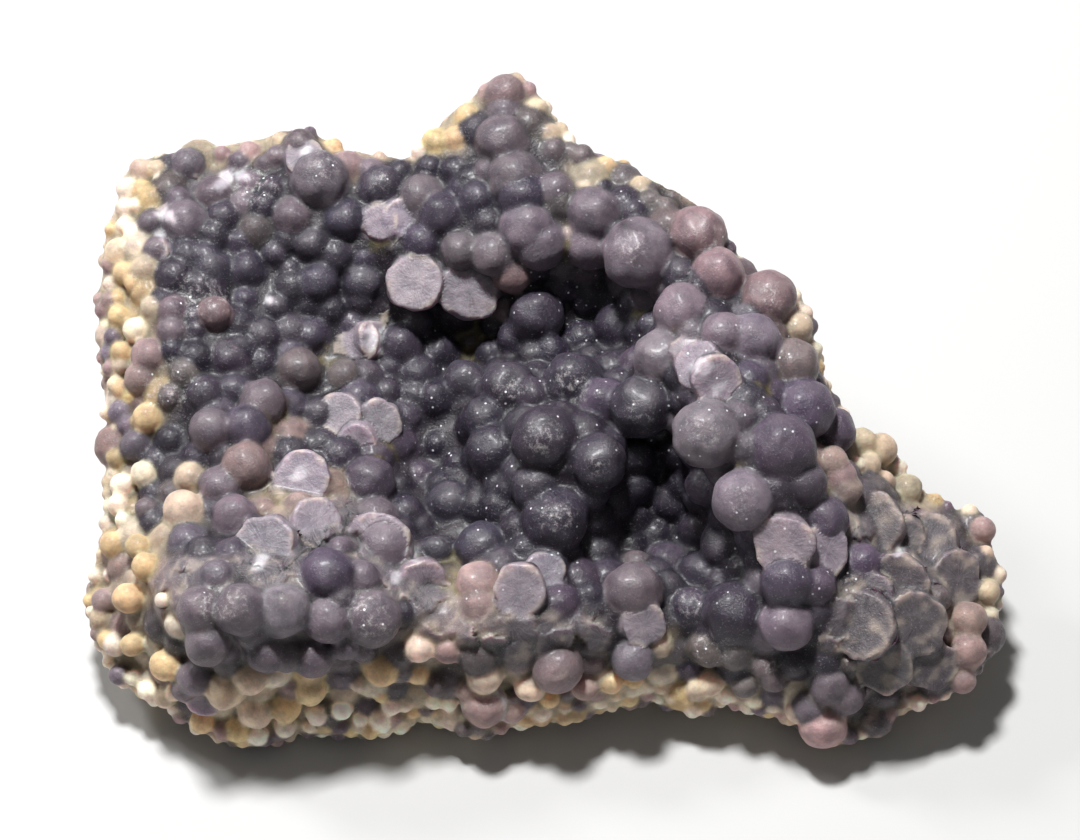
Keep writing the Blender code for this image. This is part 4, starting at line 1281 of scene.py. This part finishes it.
# %% Cut out the zones
def zone_piece(number, name):
    """The faces of one zone with its hem, as a new object in metres."""
    level = np.full(corner_count, UNTOUCHED)
    inside = face_zone == number
    level[face_corners[inside[face_of_loop]]] = 0
    for step in range(1, len(HEM) + 1):
        touched = np.zeros(len(face_starts), bool)
        np.logical_or.at(touched, face_of_loop, level[face_corners] < step)
        reached = face_corners[touched[face_of_loop]]
        level[reached] = np.minimum(level[reached], step)
    wanted = np.ones(len(face_starts), bool)
    np.logical_and.at(wanted, face_of_loop, level[face_corners] < UNTOUCHED)
    used = np.unique(face_corners[wanted[face_of_loop]])
    renumber = np.full(corner_count, -1)
    renumber[used] = np.arange(len(used))
    tuck = np.zeros(corner_count)
    for step, depth in enumerate(HEM, 1):
        tuck[level == step] = depth
    spots = (skin_points - normals * tuck[:, None])[used] * MM
    starts = face_starts[wanted]
    sizes = face_sizes[wanted]
    mesh = bpy.data.meshes.new(name)
    mesh.vertices.add(len(used))
    mesh.vertices.foreach_set("co", spots.astype(np.float32).ravel())
    loops = face_corners[np.repeat(wanted, face_sizes)]
    mesh.loops.add(len(loops))
    mesh.loops.foreach_set("vertex_index", renumber[loops].astype(np.int32))
    mesh.polygons.add(len(starts))
    mesh.polygons.foreach_set("loop_start", np.append(0, np.cumsum(sizes)[:-1]).astype(np.int32))
    mesh.update(calc_edges=True)
    mesh.validate()
    mesh.shade_smooth()
    if name != "underside":
        mesh.normals_split_custom_set_from_vertices([tuple(normal) for normal in normals[used]])
    store(mesh, "tint", np.hstack([colour[used], np.ones((len(used), 1))]), "FLOAT_COLOR")
    store(mesh, "broken", broken[used])
    store(mesh, "ray_place", ray_place[used], "FLOAT_VECTOR")
    for label, values in (("crease", crease), ("wallness", wallness), ("frost_and_highlight", frost_and_highlight_mask),
                          ("sparkle", sparkle)):
        store(mesh, label, values[used])
    made = in_scene(name, mesh)
    if name == "underside":
        fewer = made.modifiers.new("fewer_faces", "DECIMATE")
        fewer.ratio = UNDERSIDE_KEEPS
        made = plain_mesh(made, name)
        made.name = name
    print(f"{name}: {len(made.data.loops) - 2 * len(made.data.polygons)} triangles")
    return made


pieces = [zone_piece(number, name) for number, name in enumerate(zone_names)]
bpy.data.objects.remove(skin, do_unlink=True)

# %% [markdown]
# ## The chalcedony
# The surface is satin to sugary: countless tiny quartz points. Under the light that gives a
# soft sheen and pale specks, and thin parts glow a little. Small glints are painted into the
# colour as white dots, and so are pale highlights on frosted grape tops. The colour from the
# skin is mottled by noise, broken cells get rays, and the sugar is a fine bump.

# %% Node helpers
def maths(tree, operation, first, second=0.0, clamp=False):
    """One step of arithmetic; each side is a socket or a number."""
    node = add_node(tree, "ShaderNodeMath", operation=operation, use_clamp=clamp)
    for slot, value in enumerate((first, second)):
        if isinstance(value, (int, float)):
            node.inputs[slot].default_value = value
        else:
            tree.links.new(value, node.inputs[slot])
    return node.outputs[0]


def ramp(tree, value, low, high, to_low=0.0, to_high=1.0):
    """Maps a value smoothly from one range to another."""
    node = add_node(tree, "ShaderNodeMapRange", interpolation_type="SMOOTHSTEP")
    for label, number in (("From Min", low), ("From Max", high),
                          ("To Min", to_low), ("To Max", to_high)):
        node.inputs[label].default_value = number
    tree.links.new(value, node.inputs["Value"])
    return node.outputs["Result"]


def blend(tree, share, first, second, mode="MIX"):
    """Mixes two colours; each is a socket or a colour."""
    node = add_node(tree, "ShaderNodeMix", data_type="RGBA", blend_type=mode)
    share_in, first_in, second_in = node.inputs[0], node.inputs[6], node.inputs[7]
    for socket, value in ((share_in, share), (first_in, first), (second_in, second)):
        if isinstance(value, (int, float)):
            socket.default_value = value
        elif isinstance(value, tuple):
            socket.default_value = (*value, 1.0)
        else:
            tree.links.new(value, socket)
    return node.outputs[2]


def grain(tree, place, size, detail=3.0, roughness=0.6):
    """Noise with waves of this size in metres."""
    node = add_node(tree, "ShaderNodeTexNoise")
    node.inputs["Scale"].default_value = 1.0 / size
    node.inputs["Detail"].default_value = detail
    node.inputs["Roughness"].default_value = roughness
    tree.links.new(place, node.inputs["Vector"])
    return node.outputs["Fac"]


def stored(tree, label):
    """A stored attribute of the skin."""
    return add_node(tree, "ShaderNodeAttribute", attribute_name=label)


print("Attributes on the skin:", [item.name for item in pieces[0].data.attributes])

# %% The material: mottling, sugar and pits
stone = bpy.data.materials.new("chalcedony_skin")
stone.use_nodes = True
nodes = stone.node_tree
shader = nodes.nodes["Principled BSDF"]
place = add_node(nodes, "ShaderNodeTexCoord").outputs["Object"]
tint = stored(nodes, "tint").outputs["Color"]
broken_mask = stored(nodes, "broken").outputs["Fac"]
crease_mask = stored(nodes, "crease").outputs["Fac"]
wall_mask = stored(nodes, "wallness").outputs["Fac"]

cloud = grain(nodes, place, 0.0016, 4.0)
mottled = blend(nodes, ramp(nodes, cloud, 0.3, 0.7, 0.0, 1.0),
                blend(nodes, 1.0, tint, (0.74, 0.74, 0.78), "MULTIPLY"),
                blend(nodes, 1.0, tint, (1.25, 1.22, 1.2), "MULTIPLY"))
sugar = grain(nodes, place, 0.00022, 2.0, 0.7)
specks = ramp(nodes, sugar, 0.58, 0.72)
speckled = blend(nodes, maths(nodes, "MULTIPLY", specks, 0.24), mottled, (0.48, 0.44, 0.46))
pits = ramp(nodes, grain(nodes, place, 0.0007, 3.0, 0.65), 0.66, 0.74)
stone_colour = blend(nodes, maths(nodes, "MULTIPLY", pits, 0.2), speckled, (0.50, 0.47, 0.46))
print("Nodes after the sugar:", len(nodes.nodes))

# %% Frost with painted highlights, and painted glints
# Pale specks on frosted grape tops: partly frost, partly painted highlight.
frost_and_highlight = maths(nodes, "MULTIPLY", stored(nodes, "frost_and_highlight").outputs["Fac"],
              ramp(nodes, grain(nodes, place, 0.0007, 5.0, 0.8), 0.48, 0.70))
stone_colour = blend(nodes, maths(nodes, "MULTIPLY", frost_and_highlight, 0.55), stone_colour, (0.60, 0.57, 0.56))

# Painted glints: small white dots in the colour, where the sparkle mask is.
cells = add_node(nodes, "ShaderNodeTexVoronoi")
cells.inputs["Scale"].default_value = 1 / 0.0009
nodes.links.new(place, cells.inputs["Vector"])
lucky = add_node(nodes, "ShaderNodeSeparateColor")
nodes.links.new(cells.outputs["Color"], lucky.inputs[0])
glint = maths(nodes, "MULTIPLY", ramp(nodes, cells.outputs["Distance"], 0.08, 0.17, 1.0, 0.0),
              ramp(nodes, lucky.outputs[0], 0.60, 0.64))
glint = maths(nodes, "MULTIPLY", glint, stored(nodes, "sparkle").outputs["Fac"])
stone_colour = blend(nodes, glint, stone_colour, (0.85, 0.84, 0.88))
print("Nodes after the glints:", len(nodes.nodes))

# %% Rays on the broken faces
ray_node = stored(nodes, "ray_place")
split = add_node(nodes, "ShaderNodeSeparateXYZ")
nodes.links.new(ray_node.outputs["Vector"], split.inputs[0])
angle = maths(nodes, "ARCTAN2", split.outputs["Y"], split.outputs["X"])
spread = add_node(nodes, "ShaderNodeCombineXYZ")
nodes.links.new(maths(nodes, "SINE", angle), spread.inputs["X"])
nodes.links.new(maths(nodes, "COSINE", angle), spread.inputs["Y"])
nodes.links.new(split.outputs["Z"], spread.inputs["Z"])
rays = add_node(nodes, "ShaderNodeTexNoise")
rays.inputs["Scale"].default_value = 7.0
rays.inputs["Detail"].default_value = 3.0
rays.inputs["Roughness"].default_value = 0.7
nodes.links.new(spread.outputs[0], rays.inputs["Vector"])
ray_light = ramp(nodes, rays.outputs["Fac"], 0.40, 0.66)
rayed = blend(nodes, maths(nodes, "MULTIPLY", ray_light, 0.22), stone_colour, (0.50, 0.46, 0.50))
broken_colour = blend(nodes, maths(nodes, "MULTIPLY", broken_mask, 0.8), stone_colour, rayed)
nodes.links.new(broken_colour, shader.inputs["Base Color"])
print("Nodes after the rays:", len(nodes.nodes))

# %% Gloss, bump and glow
gloss = ramp(nodes, grain(nodes, place, 0.0009), 0.3, 0.7, 0.38, 0.58)
gloss = maths(nodes, "ADD", gloss, maths(nodes, "MULTIPLY", wall_mask, 0.16))
gloss = maths(nodes, "ADD", gloss, maths(nodes, "MULTIPLY", crease_mask, 0.12), True)
nodes.links.new(gloss, shader.inputs["Roughness"])

bump = add_node(nodes, "ShaderNodeBump")
bump.inputs["Strength"].default_value = 0.55
bump.inputs["Distance"].default_value = 0.00016
height = maths(nodes, "ADD", sugar, maths(nodes, "MULTIPLY", grain(nodes, place, 0.0006, 3.0), 0.6))
ray_height = maths(nodes, "MULTIPLY", rays.outputs["Fac"], broken_mask)
height = maths(nodes, "ADD", height, maths(nodes, "MULTIPLY", ray_height, 0.5))
hackly = maths(nodes, "MULTIPLY", grain(nodes, place, 0.0016, 4.0, 0.6), broken_mask)
height = maths(nodes, "ADD", height, maths(nodes, "MULTIPLY", hackly, 3.0))
nodes.links.new(height, bump.inputs["Height"])
nodes.links.new(bump.outputs["Normal"], shader.inputs["Normal"])
for label, value in (("IOR", 1.54), ("Specular IOR Level", 0.34), ("Coat Weight", 0.10),
                     ("Coat Roughness", 0.22), ("Subsurface Weight", 0.80),
                     ("Subsurface Radius", (1.3, 0.75, 1.0)), ("Subsurface Scale", 0.0015)):
    shader.inputs[label].default_value = value
for piece in pieces:
    piece.data.materials.clear()
    piece.data.materials.append(stone)
print("Pieces with the stone on:", len(pieces), " nodes:", len(nodes.nodes))

# %% [markdown]
# ## Light, floor and camera
# Two lamps: a strong one behind and above, which throws the dark shadow under the front rim,
# and a softer one from the upper left. The floor is plain white paper.

# %% Floor
FLOOR_HALF = 0.6         # m
floor_mesh = bpy.data.meshes.new("floor")
floor_mesh.from_pydata([(-FLOOR_HALF, -FLOOR_HALF, 0), (FLOOR_HALF, -FLOOR_HALF, 0),
                        (FLOOR_HALF, FLOOR_HALF, 0), (-FLOOR_HALF, FLOOR_HALF, 0)],
                       [], [(0, 1, 2, 3)])
floor = in_scene("floor", floor_mesh)
paper = bpy.data.materials.new("white_paper")
paper.use_nodes = True
paper_shader = paper.node_tree.nodes["Principled BSDF"]
paper_shader.inputs["Base Color"].default_value = (0.50, 0.50, 0.495, 1.0)
paper_shader.inputs["Roughness"].default_value = 0.9
floor_mesh.materials.append(paper)
print("Floor:", floor.dimensions.to_tuple(2))

# %% Lamps
LAMPS_FACE = Vector((0, 0, 0.015))
ROOM_LIGHT = 0.15


def lamp(name, place, watts, size):
    """A square lamp that faces the specimen; place and size in metres."""
    light = bpy.data.lights.new(name, "AREA")
    light.energy = watts
    light.size = size
    holder = in_scene(name, light)
    holder.location = place
    holder.rotation_euler = (LAMPS_FACE - Vector(place)).to_track_quat("-Z", "Y").to_euler()


lamp("top_lamp", (-0.06, 0.11, 0.50), 4.4, 0.07)
lamp("left_lamp", (-0.34, 0.20, 0.38), 1.2, 0.10)
world = bpy.data.worlds.new("pale_room")
bpy.context.scene.world = world
world.use_nodes = True
world.node_tree.nodes["Background"].inputs["Color"].default_value = (1.0, 1.0, 1.0, 1.0)
world.node_tree.nodes["Background"].inputs["Strength"].default_value = ROOM_LIGHT
bpy.context.scene.view_settings.view_transform = "Standard"

# %% Camera
SENSOR = 36.0
FRAME_WIDE = 108.0       # mm of the middle plane across the picture
lens = bpy.data.cameras.new("camera")
lens.sensor_width = SENSOR
lens.sensor_fit = "HORIZONTAL"
lens.lens = SENSOR * VIEW_AWAY / FRAME_WIDE
lens.clip_start = 0.01
camera = in_scene("camera", lens)
camera.location = Vector(EYE) * MM
camera.rotation_euler = Vector(-TOWARD).to_track_quat("-Z", "Y").to_euler()
bpy.context.scene.camera = camera
print("Lens in millimetres:", round(lens.lens, 1))

# %% Attach the pieces and hide the imported part
for piece in pieces:
    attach(piece, "root")
    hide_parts("grape_agate")
